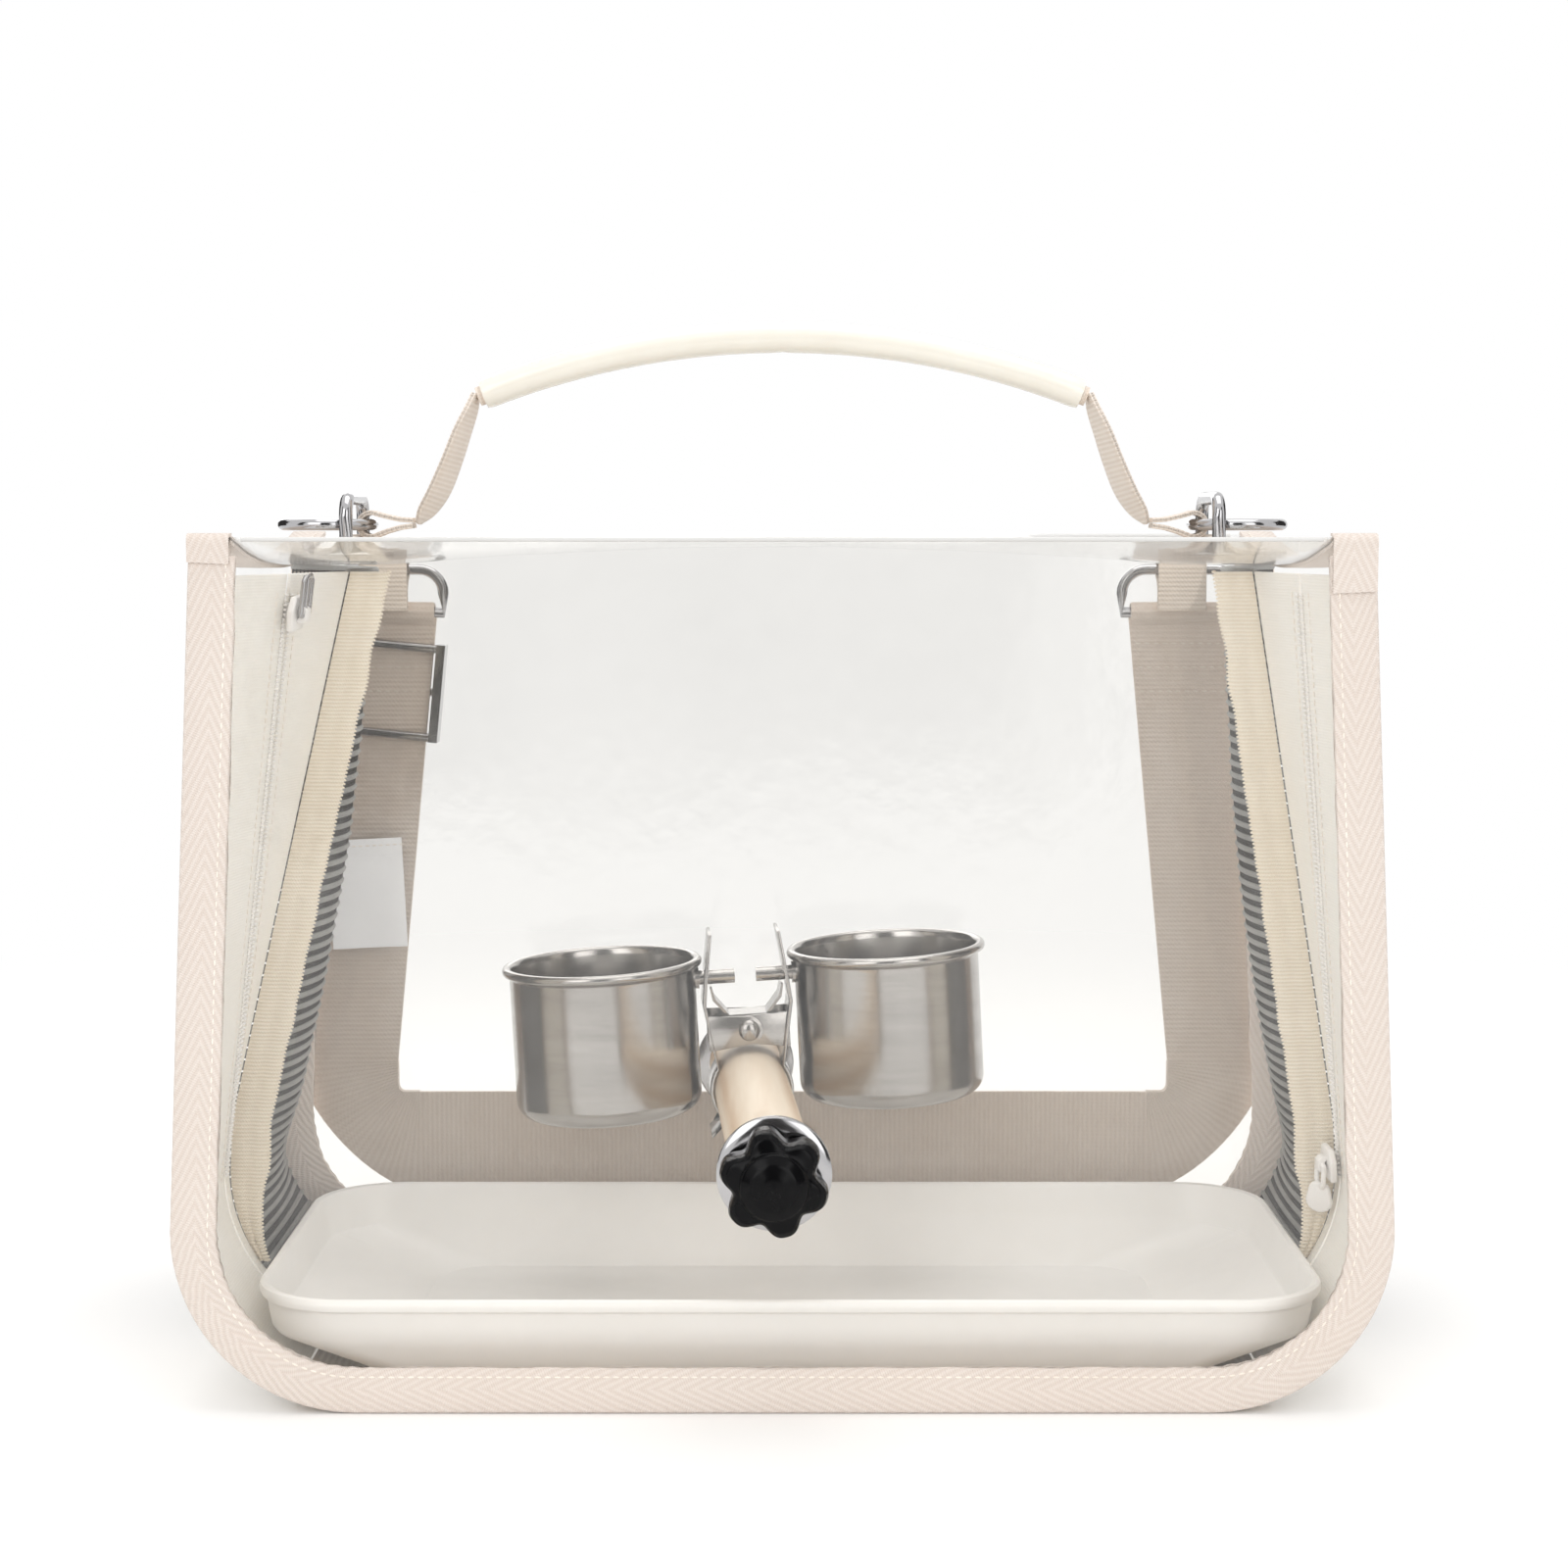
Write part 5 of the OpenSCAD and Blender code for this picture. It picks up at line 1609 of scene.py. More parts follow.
@dataclass
class ZipSlider:
    """A zip slider with its pull."""

    kit: Kit
    wall: SideWall
    z: float
    width: float = 9.0
    length: float = 9.0

    def build(self) -> None:
        """Build the slider and its pull."""
        word = self.wall.side.word
        m = self.wall.frame_at(self.z)
        self._slider(word, m)
        if self.wall.side is Side.LEFT:
            self._wire_pull(word, m)
        else:
            self._tab_pull(word, m)

    def _slider(self, word: str, m: Matrix) -> None:
        """Build the slider's two hexagonal plates, its post and the eye."""
        hexagon = [(-0.36, 0.5), (0.36, 0.5), (0.56, 0.12), (0.44, -0.5), (-0.44, -0.5), (-0.56, 0.12)]
        plate = [(a * self.width, b * self.length) for a, b in hexagon]
        y, z = vec(0, 1, 0), vec(0, 0, 1)
        parts = [
            bevelled(prism("plate", plate, vec(2.4, 0, 0), y, z, vec(1.8, 0, 0)), 0.55, 3),
            bevelled(prism("plate", plate, vec(-2.7, 0, 0), y, z, vec(1.1, 0, 0)), 0.35, 2),
        ]
        post = [(-0.5, -2.25), (0.5, -2.25), (0.5, 2.25), (-0.5, 2.25)]
        parts.append(prism("post", post, vec(-1.8, 0, 0), y, z, vec(4.4, 0, 0)))
        arch = [(-2.2, 0.0), (-2.2, 1.4), (-1.4, 2.5), (1.4, 2.5), (2.2, 1.4), (2.2, 0.0)]
        arch += [(1.2, 0.0), (0.9, 0.55), (-0.9, 0.55), (-1.2, 0)]
        eye = prism("eye", arch, vec(4.15, -1.7, 0), z, vec(1, 0, 0), vec(0, 3.4, 0))
        parts.append(bevelled(eye, 0.3, 2))
        slider = outward(moved(joined(f"slider_body_{word}", parts), m))
        self.kit.place(sharpened(slider), f"slider_{word}", "zip_plastic", f"zip_slider_{word}")

    def _link(self, length: float, wire_r: float) -> Piece:
        """Build the wire link of a pull, hanging down from the eye at the zip frame's origin."""
        half = 2.85
        loop = [
            vec(0, -half, 0), vec(0, -half, length - 1), vec(0, -half + 1, length),
            vec(0, half - 1, length), vec(0, half, length - 1), vec(0, half, 0),
            vec(0, half - 0.7, -0.1), vec(0, -half + 0.7, -0.1),
        ]
        return tube("link", loop, wire_r, 12, closed=True)

    def _wire_pull(self, word: str, m: Matrix) -> None:
        """Build the left pull, a wire link that stands up, with a crimped middle bar."""
        link = self._link(9.8, 0.72)
        bar = tube("bar", [vec(0.1, 0.4, 1.2), vec(0.1, 0.4, 9.4)], 0.6, 12)
        pull = joined(f"pull_wire_{word}", [link, bar])
        at_eye = m @ Matrix.Translation(vec(5.5, 0, 0))
        self.kit.place(sharpened(outward(moved(pull, at_eye))), f"pull_{word}", "plated_metal", f"zip_pull_{word}")

    def _tab_pull(self, word: str, m: Matrix) -> None:
        """Build the right pull: a short link and a moulded shield that hangs plumb."""
        wide, length = 7.6, 8.3
        outline = [(-2.0, 0), (2.0, 0), (2.9, 1.2), (wide / 2, length - 3.2)]
        for k in range(1, 8):
            a = pi * k / 8
            outline.append((wide / 2 * cos(a), length - 3.2 + 3.2 * sin(a)))
        outline += [(-wide / 2, length - 3.2), (-2.9, 1.2)]
        turn = Matrix.Rotation(radians(45), 4, "Z")
        shield = prism("shield", outline, vec(-0.8, 0, 5.3), vec(0, 1, 0), vec(0, 0, 1), vec(1.6, 0, 0))
        shield = bevelled(moved(shield, turn), 0.6, 3)
        pull = joined(f"pull_tab_{word}", [shield, self._link(6.0, 0.7)])
        hang = Matrix.Rotation(radians(-6.3), 4, "Y") @ Matrix.Diagonal((1, 1, -1, 1))
        at_eye = m @ Matrix.Translation(vec(5.5, 0, 0)) @ hang
        self.kit.place(sharpened(outward(moved(pull, at_eye))), f"pull_{word}", "zip_plastic", f"zip_pull_{word}")


@dataclass
class TopHardware:
    """Rings, webbing tabs and the loops at the handle's ends."""

    kit: Kit
    web_t: float = 1.3

    def build(self) -> None:
        """Build both ends."""
        for side in Side:
            self._upright_ring(side)
            self._flat_ring(side)
            self._tab(side)
            self._loop(side)

    def _upright_ring(self, side: Side) -> None:
        """Build the D-shaped ring that stands in the webbing tab."""
        low, high, half, r = 211.85, 224.6, 15.05, 5.0
        path = [vec(113, -half, low), vec(113, -half, high - r)]
        for k in range(1, 9):
            a = radians(90 * k / 8)
            path.append(vec(113, -half + r - r * cos(a), high - r + r * sin(a)))
        path += [vec(p.x, -p.y, p.z) for p in path[::-1]]
        path = [mirrored(side, p) for p in path]
        ring = tube(f"ring_upright_{side.word}", path, 1.75, 20, closed=True)
        self.kit.place(ring, f"upright_ring_{side.word}", "plated_metal", f"d_ring_{side.word}")

    def _flat_ring(self, side: Side) -> None:
        """Build the round ring that lies flat between the tab and the handle."""
        mid = 11.7
        path = [
            mirrored(side, vec(120 + mid * cos(a), mid * sin(a), 217.75))
            for a in (2 * pi * k / 72 for k in range(72))
        ]
        ring = tube(f"ring_flat_{side.word}", path, 1.5, 20, closed=True)
        self.kit.place(ring, f"flat_ring_{side.word}", "plated_metal", f"o_ring_{side.word}")

    def _tab(self, side: Side) -> None:
        """Build the webbing strip sewn across the top sheet's end, folded over the upright ring's bar."""
        z = 208.5
        t = self.web_t
        r = 1.75 + 0.3 + t / 2
        low = [vec(x, 0, z + t / 2) for x in (101, 108, 118, 131)]
        arc = [
            vec(113 - r * cos(a), 0, 211.85 + r * sin(a))
            for a in angles(20, 140, 8)
        ]
        high = [vec(101, 0, z + 1.5 * t), vec(105, 0, z + 1.55 * t), vec(108.6, 0, z + 1.9 * t)]
        far = [vec(117.4, 0, z + 1.9 * t), vec(121, 0, z + 1.55 * t), vec(131, 0, z + 1.5 * t)]
        across = lambda _i: vec(0, 1, 0)
        wide = lambda _i: 25.0
        parts = []
        for line in (low, high + arc + far):
            path = [mirrored(side, p) for p in spaced(rounded(line, 2), 0.8)]
            parts.append(band("web", path, across, wide, t))
        tab = joined(f"ring_webbing_{side.word}", parts)
        self.kit.place(tab, "bag", "webbing", f"webbing_tab_{side.word}")
        lines = []
        for x in (103, 106.2, 121.5, 129):
            lines.append([mirrored(side, vec(x, y, z + 2 * t + 0.16)) for y in (-11, 11)])
        for y in (-11, 11):
            lines.append([mirrored(side, vec(x, y, z + 2 * t + 0.16)) for x in (121.5, 129)])
        self.kit.stitch(f"ring_webbing_{side.word}_stitches", lines, 2.2, (1.6, 0.5, 0.5), vec(0, 0, 1))

    def _loop(self, side: Side) -> None:
        """Build the sewn end of the handle's webbing, a tear-shaped loop round the flat ring."""
        t = self.web_t
        x, z = 108.3, 217.75
        r = 2.5 + t / 2
        path = [vec(97.2, 0, 218.15 + t * 0.52), vec(101, 0, 218.2 + t * 0.7), vec(104.5, 0, 219.9)]
        path += [
            vec(x - r * cos(a), 0, z + r * sin(a))
            for a in angles(60, 240, 16)
        ]
        path += [vec(104.5, 0, 215.9), vec(101, 0, 217.6 - t * 0.5), vec(97.2, 0, 218.15 - t * 0.52)]
        line = [mirrored(side, p) for p in spaced(path, 0.7)]
        loop = band(f"handle_loop_{side.word}", line, lambda _i: vec(0, 1, 0), lambda _i: 8.0, t)
        self.kit.place(loop, "bag", "webbing", f"handle_end_{side.word}")


@dataclass
class Handle:
    """The handle: ribbed webbing legs and a round grip in a clear tube."""

    kit: Kit
    grip_r: float = 4.0
    chord: float = 160.0
    crown: float = 266.6
    rise: float = 15.4

    def build(self) -> None:
        """Build the webbing legs, the rolled core and the tube."""
        parts = [self._core()] + [self._leg(side) for side in Side]
        web = joined("handle_cloth", parts)
        self.kit.place(web, "handle", "webbing", "handle_webbing")
        self._tube()

    def _arc(self, cut: float, n: int) -> Row:
        """Return the grip's middle line, ended short by an angle in degrees."""
        half = self.chord / 2
        r = (half**2 + self.rise**2) / (2 * self.rise)
        a = asin(half / r) - radians(cut)
        c = self.crown - r
        return [vec(r * sin(lerp(-a, a, k / n)), 0, c + r * cos(lerp(-a, a, k / n))) for k in range(n + 1)]

    def _core(self) -> Piece:
        """Build the rolled webbing inside the tube."""
        return tube("core", self._arc(0, 60), 2.55, 16)

    def _leg(self, side: Side) -> Piece:
        """Build one leg, a ribbon that turns as it goes down."""
        path_x = [80.6, 82, 84.5, 87.5, 91, 94.6, 96.8]
        path_z = [252.4, 248, 242, 234, 226, 220.4, 217.5]
        top = (self.chord / 2 + 0.6, self.crown - self.rise + 0.9)
        low = (96.2, 218.15)
        turns = [3, 5, 6, 7, 8, 7, 0]
        widths = [0.42, 0.7, 0.92, 1, 1, 0.8, 0.4]
        n = 44
        line: Row = []
        for k in range(n + 1):
            t = k / n
            u = (catmull(path_x, t) - path_x[0]) / (path_x[-1] - path_x[0])
            v = (catmull(path_z, t) - path_z[0]) / (path_z[-1] - path_z[0])
            line.append(mirrored(side, vec(lerp(top[0], low[0], u), 0, lerp(top[1], low[1], v))))

        def wide(i: int) -> Vector:
            """Return the direction across the leg at a path point."""
            a = -side.value * radians(catmull(turns, i / n))
            d = (line[min(i + 1, n)] - line[max(i - 1, 0)]).normalized()
            return vec(-sin(a) * d.z, cos(a), sin(a) * d.x)

        return band("leg", line, wide, lambda i: 20.0 * catmull(widths, i / n), 1.3)

    def _tube(self) -> None:
        """Build the clear tube with the seam at its middle."""
        path = self._arc(0.4, 96)
        last = len(path) - 1

        def radius(i: int) -> float:
            """Return the tube's radius at a path point."""
            near = abs(i - last / 2)
            return self.grip_r - 0.22 * exp(-((near / 0.9) ** 2)) - (0.3 if i in (0, last) else 0.0)

        def ring(i: int, _along: float) -> Row:
            """Return the section's points at a path point."""
            run = (path[min(i + 1, last)] - path[max(i - 1, 0)]).normalized()
            a = vec(0, 1, 0)
            b = run.cross(a)
            r = radius(i)
            return [path[i] + (a * cos(k * pi / 12) + b * sin(k * pi / 12)) * r for k in range(24)]

        grip = sweep("grip_tube", path, ring)
        self.kit.place(grip, "handle", "clear_tube", "handle_grip")


@dataclass
class PerchSet:
    """The wooden perch with the washers that clamp it between the sheets."""

    kit: Kit
    radius: float = 10.5
    end: float = 69.2
    front_x: float = -2.0
    back_x: float = -11.0
    z: float = 60.0

    def centre(self, y: float) -> Vector:
        """Return the perch's axis at a depth."""
        return vec(lerp(self.front_x, self.back_x, (y + self.end) / (2 * self.end)), y, self.z)

    def build(self) -> None:
        """Build the perch and its washers."""
        marks = [-self.end, -self.end + 0.35, -self.end + 1.0]
        marks += [lerp(-self.end + 4, self.end - 4, k / 40) for k in range(41)]
        marks += [self.end - 1.0, self.end - 0.35, self.end]
        path = [self.centre(y) for y in marks]

        def ring(i: int, _along: float) -> Row:
            """Return the section's points at a path point."""
            inset = {0: 1.0, 1: 0.35, len(marks) - 2: 0.35, len(marks) - 1: 1.0}.get(i, 0.0)
            r = self.radius - inset + 0.06 * ripple(0, marks[i], 0, 17, 2)
            return [path[i] + vec(r * cos(a), 0, r * sin(a)) for a in (2 * pi * k / 64 for k in range(64))]

        perch = sweep("perch_rod", path, ring)
        self.kit.place(perch, "bag", "light_wood", "perch")
        y = vec(0, 1, 0)
        front, back = vec(self.front_x, 0, self.z), vec(self.back_x, 0, self.z)
        flat = [(3.1, 0.0), (13.9, 0.0), (14.2, 0.25), (14.2, 0.95), (13.9, 1.2), (3.1, 1.2)]
        inner = [
            lathe("washer", flat, front + y * -70.4, y),
            lathe("washer", flat, back + y * 69.2, y),
        ]
        self.kit.place(joined("perch_washers_inner", inner), "bag", "plated_metal", "inner_washers")
        dome = [
            (3.1, 0.0), (14.0, 0.0), (14.2, 0.15), (14.15, 0.4), (13.6, 0.72), (12.4, 1.02), (10.8, 1.18),
            (9.6, 1.2), (3.1, 1.2),
        ]
        small = [(3.1, 0.0), (8.3, 0.0), (8.5, 0.2), (8.4, 0.7), (7.9, 1.0), (3.1, 1.0)]
        outer = [lathe("washer", dome, front + y * -71.0, -y), lathe("washer", small, back + y * 71.0, y)]
        self.kit.place(joined("perch_washers_outer", outer), "bag", "plated_metal", "outer_washers")


@cache
def star_tree() -> NodeTree:
    """Return the tree that forms a star knob from a grid by rule."""
    sizes = {"Radius": 0.0135, "Height": 0.016, "Lobes": 6.0, "Depth": 0.2, "Turn": 0.0, "Material": None}
    g = Graph.group("star_knob", "GeometryNodeTree", sizes)
    src = g.source
    counts = {"Size X": 1.0, "Size Y": 1.0, "Vertices X": 217, "Vertices Y": 110}
    grid = g.node("GeometryNodeMeshGrid", counts)
    cut = g.node("ShaderNodeSeparateXYZ", {0: g.node("GeometryNodeInputPosition")}).outputs

    def curve(points: Sequence[tuple[float, float]], value: Socket) -> Socket:
        """Return a value read off a line of straight pieces."""
        made = g.node("ShaderNodeFloatCurve", {"Value": value})
        line = made.mapping.curves[0]
        line.points[0].location = points[0]
        line.points[1].location = points[-1]
        for p in points[1:-1]:
            line.points.new(*p)
        for p in line.points:
            p.handle_type = "VECTOR"
        made.mapping.update()
        return made.outputs[0]

    v = g.math("ADD", cut[1], 0.5)
    angle = g.math("MULTIPLY", g.math("ADD", cut[0], 0.5), 2 * pi)
    marks = [0.0, 0.1, 0.2, 0.24, 0.3, 0.36, 0.42, 0.56, 0.64, 0.7, 0.74, 0.78, 0.84, 0.9, 0.95, 1.0]
    radii = [0.0, 0.7, 0.715, 0.74, 0.92, 0.98, 1.0, 1.0, 0.96, 0.86, 0.7, 0.625, 0.6, 0.42, 0.21, 0.0]
    heights = [0.0, 0.0, 0.14, 0.165, 0.18, 0.22, 0.3, 0.56, 0.7, 0.77, 0.795, 0.81, 0.86, 0.945, 0.985, 1.0]
    masks = [0.0, 0.0, 0.0, 0.25, 1.0, 1.0, 1.0, 1.0, 1.0, 0.9, 0.45, 0.0, 0.0, 0.0, 0.0, 0.0]
    radial, high, mask = (curve(list(zip(marks, values)), v) for values in (radii, heights, masks))
    wave = g.math("COSINE", g.math("MULTIPLY", angle, src["Lobes"]))
    dip = g.math("POWER", g.math("MULTIPLY", g.math("SUBTRACT", 1.0, wave), 0.5), 1.5)
    dip = g.math("MULTIPLY", g.math("MULTIPLY", dip, src["Depth"]), mask)
    r = g.math("MULTIPLY", g.math("MULTIPLY", radial, g.math("SUBTRACT", 1.0, dip)), src["Radius"])
    turned = g.math("ADD", angle, src["Turn"])
    x, y = (g.math("MULTIPLY", r, g.math(kind, turned)) for kind in ("COSINE", "SINE"))
    spot = g.node("ShaderNodeCombineXYZ", {0: x, 1: y, 2: g.math("MULTIPLY", high, src["Height"])})
    move = g.node("GeometryNodeSetPosition", {"Geometry": grid, "Position": spot})
    weld = g.node("GeometryNodeMergeByDistance", {"Geometry": move, "Distance": 1e-6})
    return g.painted(g.node("GeometryNodeSetShadeSmooth", {"Geometry": weld}))


@dataclass
class StarKnob:
    """The six-lobed knob on the perch's front stud."""

    kit: Kit
    diameter: float = 27.0
    height: float = 16.0
    lobes: int = 6
    turn: float = 43.0

    def build(self) -> None:
        """Build the knob with its tree, then stand it on the front washer."""
        obj = wire("knob_star", [[vec(0, 0, 0), vec(0, 0, 1)]])
        values = {
            "Radius": self.diameter / 2 * MM, "Height": self.height * MM, "Lobes": float(self.lobes), "Depth": 0.225,
            "Turn": radians(self.turn), "Material": self.kit.mats["black_plastic"],
        }
        obj = grown(obj, star_tree(), values)
        m = Matrix.Translation(vec(-2, -72.2, 60) * MM) @ Matrix.Rotation(radians(90), 4, "X")
        obj.data.transform(m)
        self.kit.place(sharpened(outward(obj), 50), "knob", "black_plastic", "star_knob")


@dataclass
class CupClip:
    """The spring clip on the perch and the two cups that hang on it."""

    kit: Kit
    perch: PerchSet
    clip_y: float = 37.0
    lean: float = 3.0
    rivet_h: float = 17.0
    steel: float = 1.0
    depth: float = 16.0
    cup_x: float = 40.0
    cup_r: float = 26.0
    cup_h: float = 43.0

    def build(self) -> None:
        """Build the jaws, cups and small parts."""
        self._jaw(Side.LEFT, self.depth / 2)
        self._jaw(Side.RIGHT, self.depth / 2 - self.steel - 0.15)
        for side in Side:
            self._cup(side)
        self.kit.repaint("clip_spring", "stainless")
        self._rivet()

    @property
    def frame_mm(self) -> Matrix:
        """The clip's frame: its origin is the rivet's middle."""
        yaw = atan((self.perch.front_x - self.perch.back_x) / (2 * self.perch.end))
        m = Matrix.Translation(self.perch.centre(self.clip_y)) @ Matrix.Rotation(yaw, 4, "Z")
        return m @ Matrix.Rotation(radians(-self.lean), 4, "Y") @ Matrix.Translation(vec(0, 0, self.rivet_h))

    def _seat(self, obj: Piece) -> Piece:
        """Move a piece's points from the clip's frame to the bag's."""
        return outward(moved(obj, self.frame_mm))

    def _jaw(self, side: Side, cheek_y: float) -> None:
        """Build one jaw: a bent band with two cheeks."""
        jaw_in = self.perch.radius + 0.15
        jaw_out = jaw_in + self.steel
        pin = 14.5
        mid = self.cup_x - self.cup_r - 1.6

        def arc(r: float, a0: float, a1: float, n: int) -> list[tuple[float, float]]:
            """Return an arc round the perch, in degrees."""
            marks = [radians(lerp(a0, a1, k / n)) for k in range(n + 1)]
            return [(r * cos(a), -self.rivet_h + r * sin(a)) for a in marks]

        low = radians(-48)
        toe = ((jaw_out + 1.4) * cos(low) + 3.4, -self.rivet_h + jaw_in * sin(low) - 4.2)
        outer = [(jaw_out * 0.86, 27.5), (mid - 0.6, pin), (mid + 0.2, pin - 7), (mid - 0.9, 1)]
        outer += arc(jaw_out, 35, -48, 18) + [toe]
        t = self.steel
        inner = [(toe[0] - 0.2, toe[1] - t * 1.2)] + arc(jaw_in, -48, 35, 18)
        inner += [(mid - 0.9 - t, 0.6), (mid + 0.2 - t, pin - 7), (mid - 0.6 - t, pin), (jaw_out * 0.86 - t, 27.5)]
        shape = [(a * side.value, b) for a, b in outer + inner]
        x, z = vec(1, 0, 0), vec(0, 0, 1)
        strap = prism("band", shape, vec(0, -self.depth / 2, 0), x, z, vec(0, self.depth, 0))
        parts = [bevelled(strap, 0.28, 2)]
        reach = self.cup_x - self.cup_r - 2.6
        nose = [(4 * cos(a), 4 * sin(a)) for a in angles(90, 180, 14)]
        cheek = [(a * side.value, b) for a, b in [(reach, 4.5), *nose, (reach, -5.5)]]
        for q in (-1, 1):
            y = q * (cheek_y - t / 2) - t / 2
            parts.append(bevelled(prism("cheek", cheek, vec(0, y, 0), x, z, vec(0, t, 0)), 0.3, 2))
        jaw = self._seat(joined(f"jaw_{side.word}_steel", parts))
        self.kit.place(sharpened(jaw), f"jaw_{side.word}", "stainless", f"clip_jaw_{side.word}")

    def _cup(self, side: Side) -> None:
        """Build one cup: a drawn shell with a rolled rim."""
        r, h, w = self.cup_r, self.cup_h, 0.8
        profile = [(0.0, 0.35), (r - 10, 0.2), (r - 7, 0.0)]
        profile += [(r - 5 + 5 * sin(a), 5 - 5 * cos(a)) for a in angles(0, 90, 10)[1:]]
        profile += [(r, h * 0.5), (r, h - 4.2), (r + 0.15, h - 3.2)]
        c, rim = (r + 0.7, h - 1.3), 1.3
        profile += [(c[0] + rim * cos(a), c[1] + rim * sin(a)) for a in angles(-80, 220, 14)]
        profile += [(r - 0.55, h - 1.1), (r - w, h - 2.4), (r - w, h * 0.5), (r - w, 6)]
        profile += [(r - 5.3 + 4.5 * cos(a), 5.3 - 4.5 * sin(a)) for a in angles(0, 90, 8)[1:]]
        profile += [(r - 9, 0.95), (0.0, 1.1)]
        base = 21 - h
        cup = lathe(f"cup_shell_{side.word}", profile, vec(side.value * self.cup_x, 0, base), vec(0, 0, 1), 128)
        self.kit.place(self._seat(cup), f"feed_cup_{side.word}", "stainless", f"cup_{side.word}")
        self.kit.repaint(f"cup_pin_{side.word}", "stainless")

    def _rivet(self) -> None:
        """Build the rivet with its two domed heads."""
        parts = []
        for q in (-1, 1):
            head = [(0.0, 1.35), (1.2, 1.25), (2.2, 0.85), (2.8, 0.3), (2.95, 0.0), (1.7, 0.0), (1.6, -3.0)]
            head.append((0.0, -3.0))
            parts.append(lathe("head", head, vec(0, q * (self.depth / 2 + 0.05), 0), vec(0, q, 0), 40))
        shank = [(0.0, -8.0), (1.6, -8.0), (1.6, 8.0), (0.0, 8.0)]
        parts.append(lathe("shank", shank, vec(0, 0, 0), vec(0, 1, 0), 32))
        rivet = self._seat(joined("clip_rivet_steel", parts))
        self.kit.place(rivet, "cup_clip", "stainless", "clip_rivet")


@dataclass
class Tray:
    """The drop tray: a rolled rim, a near-upright wall, a drawn-in lower wall and a sunk floor."""

    kit: Kit
    x: float = 2.0
    low: float = 1.6
    knee: float = 14.0

    def build(self) -> None:
        """Build the tray as rings of rounded rectangles."""
        shape = [
            (206 - 8, 110 - 8, 14, self.low + 0.5), (206 - 3, 110 - 3, 16.5, self.low), (206, 110, 18, self.low + 0.4),
            (236, 115, 20, 7.8), (264, 119.4, 22, self.knee - 0.7), (266.4, 120.4, 22.4, self.knee + 0.8),
            (267.6, 122, 22.8, 18.5), (268.2, 122.6, 22.9, 21.4), (269.2, 123.4, 23, 22.4), (271, 125.2, 23.6, 22.9),
            (271.9, 125.9, 23.9, 23.9), (272, 126, 24, 24.7), (271.4, 125.4, 23.7, 25.6), (270, 124, 23.2, 26.0),
            (267.6, 121.6, 22.4, 25.7), (266.4, 120.4, 22, 24.6), (264.4, 118.4, 21.2, 18),
            (262.8, 116.6, 20.6, self.knee + 0.9),
            (232, 111.5, 18.4, 8.6), (203.5, 107.2, 16.6, 3.9), (202, 106, 16.2, 3.3), (196, 100, 13.6, 3.2),
            (194, 98, 13, 2.9),
        ]
        rings = [self._ring(*s) for s in shape]
        size = len(rings[0])
        verts = [p for ring in rings for p in ring]
        faces = quads(len(rings), size, False)
        faces += [list(range(size)), list(range(len(verts) - size, len(verts)))]
        tray = outward(make_mesh("tray_shell", verts, faces))
        tray = bevelled(tray, 0.25, 2, 50)
        self.kit.place(sharpened(tray, 35), "drop_tray", "tray_plastic", "tray")

    def _ring(self, w: float, d: float, r: float, z: float) -> Row:
        """Return a rounded rectangle's points at a height."""
        out: Row = []
        for cx, cy, a0 in ((1, 1, 0), (-1, 1, 90), (-1, -1, 180), (1, -1, 270)):
            for k in range(13):
                a = radians(a0 + 90 * k / 12)
                out.append(vec(self.x + cx * (w / 2 - r) + r * cos(a), cy * (d / 2 - r) + r * sin(a), z))
        return out


@dataclass
class CareLabel:
    """The blank cloth label sewn behind the back sheet."""

    kit: Kit

    def build(self) -> None:
        """Build the label and its stitches."""
        s = self.kit.shape
        z0 = 93.5
        x0 = -(s.side_x(z0 + 32) - s.tape_w - 25) - 22
        tilt = radians(3)
        rows: list[Row] = []
        for i in range(17):
            row: Row = []
            for j in range(13):
                a, b = 22 * j / 12, 32 * (1 - i / 16)
                curl = -1.5 * smooth_step((j / 12 - 0.45) * 1.6) * (i / 16) ** 2 - 0.2 * ripple(a, b, 0, 12, 3)
                row.append(Vector((
                    x0 + a * cos(tilt) - b * sin(tilt), s.half_d - s.sheet_t - 0.45 + curl,
                    z0 + b * cos(tilt) + a * sin(tilt),
                )))
            rows.append(row)
        self.kit.place(cloth("label_blank", rows, 0.3), "bag", "label_cloth", "care_label")
        line = [rows[1][j] + vec(0, -0.25, 0) for j in range(13)]
        self.kit.stitch("label_stitches", [line], 2.0, (1.4, 0.35, 0.3), vec(0, -1, 0))


